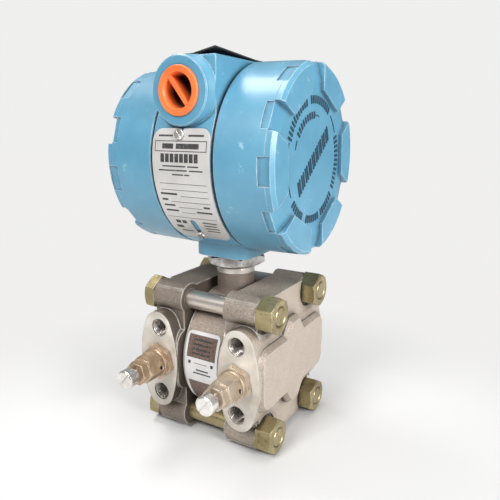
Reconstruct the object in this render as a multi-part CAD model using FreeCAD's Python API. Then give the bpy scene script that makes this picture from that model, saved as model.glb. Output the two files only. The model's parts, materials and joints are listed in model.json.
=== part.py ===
"""Differential pressure transmitter: a round two-cover electronics housing on a bolted sensor block.

Modelled in millimetres, +Z up. While a piece is drawn the origin is the centre of the sensor module: +X runs
along the flange bolts to the high-pressure side, -Y is the front with the vent valves and the nameplate.
export() then moves every piece so that the origin is the centre of the rear process face, where a manifold bolts on.
"""
import FreeCAD, Part
import math
import os

V = FreeCAD.Vector
X_AXIS, Y_AXIS, Z_AXIS = V(1, 0, 0), V(0, 1, 0), V(0, 0, 1)

# Process interface
PORT_PITCH = 54.0             # between the centres of the high and low ports
HOLE_PITCH = 41.3             # between the two tapped holes above and below each port
PORT_FACE_Y = 42.85           # sensor centre to either port face
TAPPED_R = 5.64               # 7/16 in tapped hole of the rear face, at the thread's outside
FRONT_TAPPED_R = 5.46         # the same thread in the front face, drilled a little tighter
TAPPED_DEPTH = 17.0
PORT_R = 6.6                  # 1/4 in pipe thread
PORT_DEPTH = 13.0
PASSAGE_R = 3.0

# Flanges
FLANGE_INNER_X = 14.5         # sensor centre to the face that seals on the module
EAR_X = 35.5                  # outer face of the bolt ears
BELT_X = 43.0                 # outer face of the raised belt
BOLT_PITCH_Y = 55.0
BOLT_PITCH_Z = 73.6
EAR_R = 9.5
WEB_HALF_Z = 44.4             # top edge of the web between two ears
WEB_HALF_Y = 34.5
BELT_HALF_Z = 16.6
CREST_Z = 25.0                # top of the raised crest above the belt
CREST_FOOT_Y = 10.8
CREST_TOP_Y = 4.2
BELT_CORNER_R = 9.0
BELT_CHAMFER = 2.6
CREST_ROUND_R = 4.0
POCKET_FLOOR_X = 37.2         # between the belt and the nuts
NUT_SEAT_R = 11.6
PAD_HALF_X = 13.6
PAD_HALF_Z = 30.3
PAD_END_R = 9.6
BELT_END_GAP = 1.2            # from the belt's end to the port face
RECESS_R = 24.0
RECESS_DEPTH = 1.6

# Flange fasteners, 7/16 in
BOLT_R = 5.5
BOLT_CLEARANCE = 0.3
BOLT_AF = 19.05
BOLT_HEAD_H = 7.2
NUT_H = 10.6
NUT_TURNS = (2.0, -7.0, 5.0, -3.0)    # how far each nut stands from point-down, degrees
HEAD_TURNS = (2.0, -7.0, 16.0, -13.0)   # the same for the bolt heads
THREAD_FIT = 0.05             # radial gap between a screw and its tapped hole

# Sensor module
MODULE_R = 38.8
MODULE_BAND_HALF = 12.2
RIM_STEP = 2.2                # from the band down to the plain rim beside the weld
DIAPHRAGM_R = 22.0
DIAPHRAGM_T = 0.3
DIAPHRAGM_WAVES = 5
SEAL_R = 28.0
SEAL_SECTION_R = 1.3
NECK_R = 11.4
COLLAR_R = 11.9
COLLAR_H = 3.7
SPIGOT_R = 10.4
LABEL_T = 0.3
LABEL_HALF_X = 11.6
LABEL_TOP_DEG = 31.0
LABEL_BOTTOM_DEG = 40.0

# Vent valves
SEAT_AF = 19.0
SEAT_HEX_H = 3.9
SEAT_COLLAR_R = 8.7
SEAT_COLLAR_H = 1.7
VENT_AF = 14.3
VENT_HEX_L = 11.2
VENT_TIP_AF = 12.6
VENT_TIP_L = 5.0
VENT_BORE_R = 3.2
VENT_BORE_DEPTH = 12.0
CROSS_HOLE_R = 1.2
WATERWAY_R = 1.6
BLEED_HEAD_R = 5.4
BLEED_HEAD_L = 6.0
BLEED_STANDOFF = 2.8
BALL_R = 2.6

# Electronics housing
FOOT_Z = 62.3                 # underside of the foot above the sensor centre
FOOT_DROP = 4.9               # from the band down to the foot's underside
BAND_R = 52.0
BAND_HALF = 18.4
HOUSING_Z = FOOT_Z + FOOT_DROP + BAND_R
COVER_STEP = 0.3              # the cover stands this much proud of the band
COVER_R = BAND_R + COVER_STEP
COVER_DRAFT = 0.6
COVER_END_R = COVER_R - COVER_DRAFT
COVER_SKIRT_T = 5.0
COVER_THREAD_GAP = 0.3
SPIGOT_RIM_R = COVER_END_R - COVER_SKIRT_T - COVER_THREAD_GAP    # threaded rims that the covers screw on
RIM_L = 15.6
RIM_X = BAND_HALF + RIM_L
RIM_WALL = 4.4
CAVITY_R = SPIGOT_RIM_R - RIM_WALL
PARTITION_HALF = 3.2
CONDUIT_R = 17.1
CONDUIT_Z = BAND_R - CONDUIT_R       # conduit entry above the housing axis
CONDUIT_STAND = 0.1
CONDUIT_FACE_Y = BAND_R + CONDUIT_STAND
CONDUIT_FLARE = 2.4
CONDUIT_RIM = 1.8
CONDUIT_BORE_R = 10.4
CONDUIT_BORE_DEPTH = 15.0
HUMP_SETBACK = 5.7            # from the conduit face back to the corner block
HUMP_HALF_Y = CONDUIT_FACE_Y - HUMP_SETBACK
HUMP_FOOT_Z = 10.0
HUMP_SHAVE_X = 8.5            # the left corners are shaved off from here
HUMP_SHAVE_Y = 15.0
HUMP_ROUND_R = 1.2
WIREWAY_R = 4.6
WIREWAY_L = 26.0
FOOT_HALF_X = BAND_HALF
FOOT_HALF_Y = 19.0
FOOT_CORNER_R = 8.0
SWIVEL_GAP = 0.2
NECK_ENGAGE = 13.2
NECK_TOP_Z = FOOT_Z + NECK_ENGAGE

# Lock nut under the foot
LOCKNUT_AF = 32.5
LOCKNUT_H = 6.8
LOCKNUT_GAP = 0.1
LOCKNUT_Z = FOOT_Z - LOCKNUT_GAP - LOCKNUT_H
COLLAR_DROP = 1.4             # from the lock nut down to the bright collar
COLLAR_TOP_Z = LOCKNUT_Z - COLLAR_DROP

# Covers
COVER_GAP = 1.3               # between the band and the cover's open end
COVER_FACE_X = 50.3
COVER_BEVEL_X = 2.0
COVER_SEAM_X = COVER_FACE_X - COVER_BEVEL_X
COVER_WALL = 4.6
COVER_THREAD_L = 17.0
COVER_BEVEL_R = 9.7
DISC_R = COVER_END_R - COVER_BEVEL_R
LUG_COUNT = 6
LUG_H = 2.7
LUG_X = COVER_FACE_X + LUG_H
LUG_REACH = 6.5
LUG_CHORD = DISC_R - LUG_REACH
LUG_CHORD_HALF = 11.8
LUG_HALF_DEG = 21.5
LUG_EDGE = 1.8
POCKET_COUNT = 12
POCKET_HALF_DEG = 7.6
POCKET_REACH = 3.7            # onto the skirt
POCKET_X = COVER_SEAM_X - POCKET_REACH
POCKET_END_X = COVER_FACE_X + 0.6
POCKET_DEPTH = 1.1
RIGHT_COVER_DEG = 3.0
LEFT_COVER_DEG = 12.0
COVER_SEAL_SECTION_R = 0.62
COVER_SEAL_INSET = 1.1

# Nameplate, adjusting screws and top plate
PLATE_T = 0.6
PLATE_LIFT = 0.1
PLATE_MARGIN = 0.3
PLATE_HALF_X = BAND_HALF - PLATE_MARGIN
PLATE_TOP_DEG = 19.0          # above the front
PLATE_BOTTOM_DEG = 56.0       # below the front
PLATE_CORNER_R = 6.0
PLATE_TRAVEL_DEG = 12.0
PLATE_SCREW_X = -0.9
PLATE_SCREW_R = 1.6
PLATE_SCREW_HEAD_R = 2.9
PLATE_SCREW_HEAD_H = 1.3
TOP_SCREW_DEG = -15.3
BOTTOM_SCREW_DEG = 50.5
ADJUST_DEG = -14.6
ADJUST_X = 9.4
ADJUST_R = 2.6
ADJUST_GAP = 0.25
ADJUST_SINK = 0.8
ADJUST_L = 6.5
TOP_PLATE_T = 0.8
TOP_PLATE_MARGIN = 0.4
TOP_PLATE_HALF_X = BAND_HALF - TOP_PLATE_MARGIN
TOP_PLATE_HALF_Y = HUMP_HALF_Y - 2 * TOP_PLATE_MARGIN
TOP_PLATE_FOLD = 14.0         # along the front edge from the folded corner
TOP_PLATE_FOLD_BACK = 39.0    # along the side edge from the folded corner
TOP_PLATE_LIFT_DEG = 12.0
TOP_PIN_R = 1.2
TOP_PIN_HEAD_R = 2.3
TOP_PIN_HEAD_H = 1.1
TOP_PIN_L = 4.5
TOP_PIN_INSET = 15.6
TOP_PIN_Y = TOP_PLATE_HALF_Y - TOP_PIN_INSET

# Conduit plug
PLUG_FLANGE_R = 12.2
PLUG_FLANGE_T = 1.3
PLUG_CUP_R = 8.4
PLUG_DEPTH = 12.0
PLUG_WEB_T = 2.4
PLUG_WEB_DEG = -38.0
PLUG_FIT = 0.2

# Inside the housing
BOARD_EDGE_GAP = 5.0
BOARD_R = CAVITY_R - BOARD_EDGE_GAP
BOARD_T = 1.6
BOARD_X = (13.0, 24.0)
STANDOFF_R = 2.6
STANDOFF_INSET = 6.0
STANDOFF_PCD_R = BOARD_R - STANDOFF_INSET
STANDOFF_STUD_R = 1.5
BOARD_SCREW_R = 1.05
BOARD_SCREW_HEAD_R = 2.7
BOARD_SCREW_HEAD_H = 1.8
BLOCK_SIZE = (11.0, 52.0, 24.0)
BLOCK_DROP = 21.0
TERMINAL_COUNT = 4
TERMINAL_PITCH = 12.0
TERMINAL_SCREW_R = 2.0
TERMINAL_HEAD_R = 3.8
TERMINAL_HEAD_H = 2.2
TERMINAL_STEP = 3.0
FEED_R = 6.0
FEED_FLANGE = 1.5
GROUND_AF = 8.0
GROUND_H = 3.5


def cylinder(radius, length, start, direction):
    return Part.makeCylinder(radius, length, start, direction)


def along_x(radius, x0, x1, y=0.0, z=0.0):
    return cylinder(radius, x1 - x0, V(x0, y, z), X_AXIS)


def along_y(radius, y0, y1, x=0.0, z=0.0):
    return cylinder(radius, y1 - y0, V(x, y0, z), Y_AXIS)


def along_z(radius, z0, z1, x=0.0, y=0.0):
    return cylinder(radius, z1 - z0, V(x, y, z0), Z_AXIS)


def block(x0, x1, y0, y1, z0, z1):
    return Part.makeBox(x1 - x0, y1 - y0, z1 - z0, V(x0, y0, z0))


def face_of(edges):
    return Part.Face(Part.Wire(edges))


def polygon_face(points):
    return Part.Face(Part.makePolygon(list(points) + [points[0]]))


def spun(points, base, axis):
    """A ring or disc: the closed outline turned about an axis."""
    return polygon_face(points).revolve(base, axis, 360)


def around_x(outline, z=0.0):
    """Turn (x, radius) points about the X axis line at height z."""
    return spun([V(x, 0, z + r) for x, r in outline], V(0, 0, z), X_AXIS)


def around_y(outline, x=0.0, z=0.0):
    return spun([V(x + r, y, z) for y, r in outline], V(x, 0, z), Y_AXIS)


def around_z(outline):
    return spun([V(r, 0, z) for z, r in outline], V(0, 0, 0), Z_AXIS)


def hexagon(across_flats, start, axis, length, turn_deg=0.0):
    """A hexagonal prism; turn 0 puts a corner straight down, or towards +Y when the axis is Z."""
    corner_r = across_flats / math.sqrt(3)
    if axis is Z_AXIS:
        first, second = V(0, 1, 0), V(1, 0, 0)
    elif axis is Y_AXIS:
        first, second = V(0, 0, -1), V(1, 0, 0)
    else:
        first, second = V(0, 0, -1), V(0, 1, 0)
    points = []
    for k in range(6):
        a = math.radians(turn_deg + 60 * k)
        points.append(start + first * (corner_r * math.cos(a)) + second * (corner_r * math.sin(a)))
    return polygon_face(points).extrude(axis * length)


def chamfered_hexagon(across_flats, start, axis, length, turn_deg=0.0, both=False):
    """A hexagon whose corners are turned down at its far end, and at both ends when asked."""
    corner_r = across_flats / math.sqrt(3)
    face_r = across_flats / 2 * 0.96
    drop = (corner_r - face_r) * math.tan(math.radians(30))
    reach = corner_r + 0.5
    grow = 0.5 * math.tan(math.radians(30))
    near = [(0, 0), (0, face_r), (drop + grow, reach)] if both else [(0, 0), (0, reach)]
    outline = near + [(length - drop - grow, reach), (length, face_r), (length, 0)]
    if axis is Z_AXIS:
        turned = spun([start + V(r, 0, s) for s, r in outline], start, axis)
    elif axis is Y_AXIS:
        turned = spun([start + V(r, s, 0) for s, r in outline], start, axis)
    else:
        turned = spun([start + V(s, 0, r) for s, r in outline], start, axis)
    return hexagon(across_flats, start, axis, length, turn_deg).common(turned)


def seal_ring(major_r, section_r, x, z=0.0):
    """An O-ring about the X axis line, pressed to eight flats round its section."""
    outline = []
    for k in range(8):
        a = math.radians(22.5 + 45 * k)
        outline.append((x + section_r * math.cos(a), major_r + section_r * math.sin(a)))
    return around_x(outline, z)


def mirrored_x(shape):
    return shape.mirror(V(0, 0, 0), X_AXIS)


def group(solids):
    return Part.makeCompound(solids)


def bolt_places():
    """(y, z) of the four flange bolts."""
    return [(sy * BOLT_PITCH_Y / 2, sz * BOLT_PITCH_Z / 2) for sy in (-1, 1) for sz in (1, -1)]


# Flanges -------------------------------------------------------------------------------------------------------

def pad_centre_x():
    return FLANGE_INNER_X + PAD_HALF_X


def pad_outline(y):
    """The machined oval round one port: two long side arcs that meet two tighter end arcs, all tangent."""
    end_z = PAD_HALF_Z - PAD_END_R
    # side arc of radius s through the waist, tangent to the end circle
    s = (end_z ** 2 + PAD_HALF_X ** 2 - PAD_END_R ** 2) / (2 * (PAD_HALF_X - PAD_END_R))
    centre_x = PAD_HALF_X - s
    reach = s / (s - PAD_END_R)
    touch_x = centre_x + (0 - centre_x) * reach
    touch_z = end_z * reach
    x0 = pad_centre_x()

    def at(x, z):
        return V(x0 + x, y, z)

    right = Part.Arc(at(touch_x, -touch_z), at(PAD_HALF_X, 0), at(touch_x, touch_z)).toShape()
    top = Part.Arc(at(touch_x, touch_z), at(0, PAD_HALF_Z), at(-touch_x, touch_z)).toShape()
    left = Part.Arc(at(-touch_x, touch_z), at(-PAD_HALF_X, 0), at(-touch_x, -touch_z)).toShape()
    bottom = Part.Arc(at(-touch_x, -touch_z), at(0, -PAD_HALF_Z), at(touch_x, -touch_z)).toShape()
    return face_of([right, top, left, bottom])


def runs_along_x(edge):
    a, b = edge.Vertexes[0].Point, edge.Vertexes[-1].Point
    return abs(a.x - b.x) > 1 and abs(a.y - b.y) < 0.01 and abs(a.z - b.z) < 0.01


def belt():
    """The raised belt that joins the two pads, with a crest above and below it."""
    y, z = PORT_FACE_Y - BELT_END_GAP, BELT_HALF_Z + BELT_CHAMFER
    foot_y, top_y, top_z = CREST_FOOT_Y + BELT_CHAMFER / 2, CREST_TOP_Y + BELT_CHAMFER / 2, CREST_Z + BELT_CHAMFER
    upper = [(-y, z), (-foot_y, z), (-top_y, top_z), (top_y, top_z), (foot_y, z), (y, z)]
    lower = [(a, -b) for a, b in reversed(upper)]
    outline = polygon_face([V(FLANGE_INNER_X, a, b) for a, b in upper + lower])
    slab = outline.extrude(X_AXIS * (BELT_X - FLANGE_INNER_X))
    ends = [e for e in slab.Edges if runs_along_x(e) and abs(e.Vertexes[0].Point.y) > y - 0.01]
    rounded = slab.makeFillet(BELT_CORNER_R, ends)
    tops = [e for e in rounded.Edges if runs_along_x(e) and abs(e.Vertexes[0].Point.z) > top_z - 0.01]
    rounded = rounded.makeFillet(CREST_ROUND_R, tops)
    rim = [e for e in rounded.Edges if e.BoundBox.XMin > BELT_X - 0.01]
    return rounded.makeChamfer(BELT_CHAMFER, rim)


def flange():
    """The high side flange: a stainless casting with four bolt ears and a port pad front and rear."""
    body = block(FLANGE_INNER_X, POCKET_FLOOR_X, -WEB_HALF_Y, WEB_HALF_Y, -WEB_HALF_Z, WEB_HALF_Z)
    seats = [along_x(NUT_SEAT_R, EAR_X, BELT_X, y, z) for y, z in bolt_places()]
    body = body.cut(seats)
    for y, z in bolt_places():
        body = body.fuse(along_x(EAR_R, FLANGE_INNER_X, EAR_X, y, z))
    pad = pad_outline(-PORT_FACE_Y).extrude(Y_AXIS * (2 * PORT_FACE_Y))
    body = body.fuse([pad, belt()]).removeSplitter()
    cuts = [along_x(RECESS_R, FLANGE_INNER_X - 1, FLANGE_INNER_X + RECESS_DEPTH)]
    groove_w = 2 * SEAL_SECTION_R + 0.6
    groove_d = 2 * SEAL_SECTION_R + 0.1
    groove = along_x(SEAL_R + groove_w / 2, FLANGE_INNER_X - 1, FLANGE_INNER_X + groove_d)
    groove = groove.cut(along_x(SEAL_R - groove_w / 2, FLANGE_INNER_X - 2, FLANGE_INNER_X + groove_d + 1))
    cuts.append(groove)
    for y, z in bolt_places():
        cuts.append(along_x(BOLT_R + BOLT_CLEARANCE, FLANGE_INNER_X - 1, EAR_X + 1, y, z))
    port_x = PORT_PITCH / 2
    for side in (-1, 1):
        face = side * PORT_FACE_Y
        tapped_r = TAPPED_R if side > 0 else FRONT_TAPPED_R
        for z in (-HOLE_PITCH / 2, HOLE_PITCH / 2):
            cuts.append(cylinder(tapped_r, TAPPED_DEPTH + 1, V(port_x, face + side, z), V(0, -side, 0)))
        cuts.append(cylinder(PORT_R, PORT_DEPTH + 1, V(port_x, face + side, 0), V(0, -side, 0)))
        # a drilled passage slopes from the port's floor into the recess
        floor = V(port_x, side * (PORT_FACE_Y - PORT_DEPTH + 1), 0)
        target = V(FLANGE_INNER_X - 2, side * (RECESS_R - 12), 0)
        cuts.append(cylinder(PASSAGE_R, (target - floor).Length, floor, target - floor))
    return body.cut(cuts).removeSplitter()


def flange_bolts():
    """Four long bolts, heads on the low side, each with its chamfered end flush in its nut."""
    solids = []
    for (y, z), turn in zip(bolt_places(), HEAD_TURNS):
        head = chamfered_hexagon(BOLT_AF, V(-EAR_X, y, z), X_AXIS, BOLT_HEAD_H, turn)
        head = head.mirror(V(-EAR_X, y, z), X_AXIS)
        tip = 0.8
        shank = along_x(BOLT_R, -EAR_X, EAR_X + NUT_H - tip, y, z)
        end = Part.makeCone(BOLT_R, BOLT_R - tip, tip, V(EAR_X + NUT_H - tip, y, z), X_AXIS)
        solids.append(head.fuse(shank).fuse(end).removeSplitter())
    return group(solids)


def flange_nuts():
    """Four heavy hexagon nuts on the high side, countersunk where the bolt shows."""
    solids = []
    sink = 0.9
    for (y, z), turn in zip(bolt_places(), NUT_TURNS):
        nut = chamfered_hexagon(BOLT_AF, V(EAR_X, y, z), X_AXIS, NUT_H, turn)
        bore = along_x(BOLT_R + THREAD_FIT, EAR_X - 1, EAR_X + NUT_H + 1, y, z)
        mouth = Part.makeCone(BOLT_R, BOLT_R + sink, sink, V(EAR_X + NUT_H - sink, y, z), X_AXIS)
        solids.append(nut.cut([bore, mouth]))
    return group(solids)


# Sensor module -------------------------------------------------------------------------------------------------

def sensor_module():
    """The welded capsule: a banded drum with a weld bead at each rim, and the neck that carries the housing."""
    half = FLANGE_INNER_X
    well = DIAPHRAGM_R + 1.0
    floor = half - 1.4
    edge, rim_r = MODULE_BAND_HALF, MODULE_R - RIM_STEP
    right = [(edge, MODULE_R), (edge + 0.1, MODULE_R - 0.6), (edge + 0.4, MODULE_R - 0.3), (edge + 1.0, MODULE_R - 0.5),
             (edge + 1.5, MODULE_R - 1.2), (edge + 1.6, rim_r), (half, rim_r), (half, well), (floor, well), (floor, 0)]
    body = around_x([(-x, r) for x, r in reversed(right)] + right)
    tip = 1.0
    collar_z = COLLAR_TOP_Z - COLLAR_H
    root = MODULE_R - NECK_R
    neck = around_z([(root, 0), (root, NECK_R), (collar_z, NECK_R), (collar_z, COLLAR_R - 0.4),
                     (collar_z + 0.4, COLLAR_R), (COLLAR_TOP_Z - 0.4, COLLAR_R), (COLLAR_TOP_Z, COLLAR_R - 0.4),
                     (COLLAR_TOP_Z, SPIGOT_R), (NECK_TOP_Z - tip, SPIGOT_R), (NECK_TOP_Z, SPIGOT_R - tip),
                     (NECK_TOP_Z, 0)])
    return body.fuse(neck).removeSplitter()


def curved_sheet(radius, thickness, half_x, top_deg, bottom_deg, axis_z, corner_r):
    """A thin sheet bent round the front of a drum whose axis is X; degrees run down from the front."""
    inner = along_x(radius, -half_x, half_x, 0, axis_z)
    outer = along_x(radius + thickness, -half_x, half_x, 0, axis_z)
    shell = outer.cut(inner)
    z_top = axis_z + radius * math.sin(math.radians(top_deg))
    z_bottom = axis_z - radius * math.sin(math.radians(bottom_deg))
    window = block(-half_x, half_x, -radius - 10, -1, z_bottom, z_top)
    corners = [e for e in window.Edges if abs(e.Vertexes[0].Point.x) > half_x - 0.01
               and abs(e.Vertexes[0].Point.x - e.Vertexes[-1].Point.x) < 0.01
               and abs(e.Vertexes[0].Point.z - e.Vertexes[-1].Point.z) < 0.01]
    window = window.makeFillet(corner_r, corners)
    return shell.common(window)


def module_label():
    return curved_sheet(MODULE_R, LABEL_T, LABEL_HALF_X, LABEL_TOP_DEG, LABEL_BOTTOM_DEG, 0, 3.0)


def diaphragm():
    """The corrugated foil that the process presses on, in the module's well on the high side."""
    floor = FLANGE_INNER_X - 1.4 + 0.1
    front, back = [], []
    for k in range(2 * DIAPHRAGM_WAVES + 1):
        wave = 0.3 if k % 2 else 0.0
        r = DIAPHRAGM_R * k / (2 * DIAPHRAGM_WAVES)
        front.append((floor + wave + DIAPHRAGM_T, r))
        back.append((floor + wave, r))
    return around_x(front + list(reversed(back)))


def process_seal():
    return seal_ring(SEAL_R, SEAL_SECTION_R, FLANGE_INNER_X + SEAL_SECTION_R + 0.05)


# Vent valves ---------------------------------------------------------------------------------------------------

def vent_seat(x):
    """A pipe plug with a hexagon and a bright collar, screwed into the front port."""
    front = -PORT_FACE_Y
    hexagon_part = chamfered_hexagon(SEAT_AF, V(x, front - SEAT_HEX_H, 0), Y_AXIS, SEAT_HEX_H, 12.0)
    thread = along_y(PORT_R - THREAD_FIT, front, front + PORT_DEPTH - 2.0, x, 0)
    collar_front = front - SEAT_HEX_H - SEAT_COLLAR_H
    collar = around_y([(collar_front, 0), (collar_front, SEAT_COLLAR_R - 0.5),
                       (collar_front + 0.5, SEAT_COLLAR_R), (front - SEAT_HEX_H, SEAT_COLLAR_R),
                       (front - SEAT_HEX_H, 0)], x, 0)
    waterway = along_y(WATERWAY_R, collar_front - 1, front + PORT_DEPTH, x, 0)
    return hexagon_part.fuse([thread, collar]).cut(waterway).removeSplitter()


def vent_front_y():
    """Front end of the vent body."""
    return -PORT_FACE_Y - SEAT_HEX_H - SEAT_COLLAR_H - VENT_HEX_L - VENT_TIP_L


def vent_body(x):
    """The long hexagon that takes the bleed screw, with a cross hole that spills to the side."""
    base = -PORT_FACE_Y - SEAT_HEX_H - SEAT_COLLAR_H
    shoulder = base - VENT_HEX_L
    long_hex = chamfered_hexagon(VENT_AF, V(x, base, 0), Y_AXIS, VENT_HEX_L, 20.0)
    long_hex = long_hex.mirror(V(x, base, 0), Y_AXIS)
    tip = chamfered_hexagon(VENT_TIP_AF, V(x, shoulder, 0), Y_AXIS, VENT_TIP_L, 20.0)
    tip = tip.mirror(V(x, shoulder, 0), Y_AXIS)
    front = vent_front_y()
    bore = along_y(VENT_BORE_R, front - 1, front + VENT_BORE_DEPTH, x, 0)
    waterway = along_y(WATERWAY_R, front, base + 1, x, 0)
    cross_y = base - 2.2
    cross = along_x(CROSS_HOLE_R, x, x + VENT_AF, cross_y, 0)
    return long_hex.fuse(tip).cut([bore, waterway, cross]).removeSplitter()


def bleed_screw(x):
    """The slotted screw that is backed off to bleed the line."""
    front = vent_front_y()
    shank_end = front + VENT_BORE_DEPTH - 2 * BALL_R - 0.6
    head_back = front - BLEED_STANDOFF
    head_front = head_back - BLEED_HEAD_L
    edge = 0.7
    turned = around_y([(head_front, 0), (head_front, BLEED_HEAD_R - edge), (head_front + edge, BLEED_HEAD_R),
                       (head_back - edge / 2, BLEED_HEAD_R), (head_back, BLEED_HEAD_R - edge / 2),
                       (head_back, VENT_BORE_R - THREAD_FIT), (shank_end, VENT_BORE_R - THREAD_FIT),
                       (shank_end, 0)], x, 0)
    slot = block(x - 0.55, x + 0.55, head_front - 1, head_front + 1.0, -BLEED_HEAD_R - 1, BLEED_HEAD_R + 1)
    slot.rotate(V(x, 0, 0), Y_AXIS, 40)
    return turned.cut(slot)


def valve_ball(x):
    centre_y = vent_front_y() + VENT_BORE_DEPTH - BALL_R - 0.3
    return Part.makeSphere(BALL_R, V(x, centre_y, 0))


# Electronics housing -------------------------------------------------------------------------------------------

def band_point(degrees, radius, x=0.0):
    """A point round the housing; degrees run down from the front."""
    a = math.radians(degrees)
    return V(x, -radius * math.cos(a), HOUSING_Z - radius * math.sin(a))


def outward(degrees):
    return band_point(degrees, 1.0) - V(0, 0, HOUSING_Z)


def foot_block():
    top = HOUSING_Z - BAND_R / 2
    foot = block(-FOOT_HALF_X, FOOT_HALF_X, -FOOT_HALF_Y, FOOT_HALF_Y, FOOT_Z, top)
    upright = [e for e in foot.Edges if abs(e.Vertexes[0].Point.z - e.Vertexes[-1].Point.z) > 1]
    return foot.makeFillet(FOOT_CORNER_R, upright)


def conduit_boss(side):
    """One conduit entry: a rimmed boss that flares back into the corner of the housing."""
    z = HOUSING_Z + CONDUIT_Z
    flare_y = HUMP_HALF_Y - 1.4
    flare_r = CONDUIT_R + CONDUIT_FLARE
    outline = [(0, 0), (0, flare_r), (flare_y, flare_r),
               (CONDUIT_FACE_Y - CONDUIT_RIM, CONDUIT_R), (CONDUIT_FACE_Y - 0.6, CONDUIT_R),
               (CONDUIT_FACE_Y, CONDUIT_R - 0.6), (CONDUIT_FACE_Y, 0)]
    boss = around_y([(side * y, r) for y, r in outline], 0, z)
    trim = block(-BAND_HALF, BAND_HALF, -CONDUIT_FACE_Y - 1, CONDUIT_FACE_Y + 1, HOUSING_Z, HOUSING_Z + BAND_R)
    return boss.common(trim)


def housing():
    """The painted aluminium casting: two round compartments back to back with a wall between them."""
    body = along_x(BAND_R, -BAND_HALF, BAND_HALF, 0, HOUSING_Z)
    hump = block(-BAND_HALF, BAND_HALF, -HUMP_HALF_Y, HUMP_HALF_Y, HOUSING_Z + HUMP_FOOT_Z, HOUSING_Z + BAND_R)
    front_top = [e for e in hump.Edges if abs(abs(e.Vertexes[0].Point.y) - HUMP_HALF_Y) < 0.01
                 and abs(abs(e.Vertexes[-1].Point.y) - HUMP_HALF_Y) < 0.01
                 and e.Vertexes[0].Point.z > HOUSING_Z + BAND_R - 1 and e.Vertexes[-1].Point.z > HOUSING_Z + BAND_R - 1]
    hump = hump.makeFillet(HUMP_ROUND_R, front_top)
    shaved = []
    for side in (-1, 1):
        shaved.append(polygon_face([V(-BAND_HALF - 1, side * HUMP_HALF_Y - side * HUMP_SHAVE_Y, HOUSING_Z - 1),
                                    V(-HUMP_SHAVE_X, side * (HUMP_HALF_Y + 1), HOUSING_Z - 1),
                                    V(-BAND_HALF - 1, side * (HUMP_HALF_Y + 1), HOUSING_Z - 1)]).extrude(Z_AXIS * 60))
    hump = hump.cut(shaved)
    body = body.fuse([hump, conduit_boss(-1), conduit_boss(1), foot_block()])
    rim = around_x([(-RIM_X, 0), (-RIM_X, SPIGOT_RIM_R - 1), (-RIM_X + 1, SPIGOT_RIM_R), (RIM_X - 1, SPIGOT_RIM_R),
                    (RIM_X, SPIGOT_RIM_R - 1), (RIM_X, 0)], HOUSING_Z)
    body = body.fuse(rim).removeSplitter()
    cuts = [along_x(CAVITY_R, PARTITION_HALF, RIM_X + 1, 0, HOUSING_Z),
            along_x(CAVITY_R, -RIM_X - 1, -PARTITION_HALF, 0, HOUSING_Z),
            along_x(FEED_R + THREAD_FIT, -PARTITION_HALF - 1, PARTITION_HALF + 1, 0, HOUSING_Z)]
    z = HOUSING_Z + CONDUIT_Z
    for side in (-1, 1):
        mouth = V(0, side * (CONDUIT_FACE_Y + 1), z)
        cuts.append(cylinder(CONDUIT_BORE_R, CONDUIT_BORE_DEPTH + 1, mouth, V(0, -side, 0)))
        way = V(-PARTITION_HALF - WIREWAY_R, side * (CONDUIT_FACE_Y - CONDUIT_BORE_DEPTH + 1), z - 2)
        cuts.append(cylinder(WIREWAY_R, WIREWAY_L, way, V(0, -side, 0)))
    cuts.append(along_z(SPIGOT_R + SWIVEL_GAP, FOOT_Z - 1, NECK_TOP_Z + 0.5))
    cuts.append(along_z(WIREWAY_R, NECK_TOP_Z - 1, NECK_TOP_Z + 10, PARTITION_HALF + WIREWAY_R, 0))
    for x in (-ADJUST_X, ADJUST_X):
        start = band_point(ADJUST_DEG, BAND_R - ADJUST_SINK - ADJUST_L, x)
        cuts.append(cylinder(ADJUST_R + ADJUST_GAP, ADJUST_SINK + ADJUST_L + 4, start, outward(ADJUST_DEG)))
    for degrees in (TOP_SCREW_DEG, BOTTOM_SCREW_DEG):
        start = band_point(degrees, BAND_R - 6.0, PLATE_SCREW_X)
        cuts.append(cylinder(PLATE_SCREW_R + THREAD_FIT, 8, start, outward(degrees)))
    for y in (-TOP_PIN_Y, TOP_PIN_Y):
        top = HOUSING_Z + BAND_R
        cuts.append(along_z(TOP_PIN_R + THREAD_FIT, top - TOP_PIN_L - 0.5, top + 1, 0, y))
    return body.cut(cuts).removeSplitter()


def lock_nut():
    """The thin hexagon that locks the housing on the threaded neck."""
    top = FOOT_Z - LOCKNUT_GAP
    nut = chamfered_hexagon(LOCKNUT_AF, V(0, 0, LOCKNUT_Z), Z_AXIS, top - LOCKNUT_Z, 18.0, both=True)
    return nut.cut(along_z(SPIGOT_R + THREAD_FIT, LOCKNUT_Z - 1, top + 1))


# Covers --------------------------------------------------------------------------------------------------------

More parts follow.
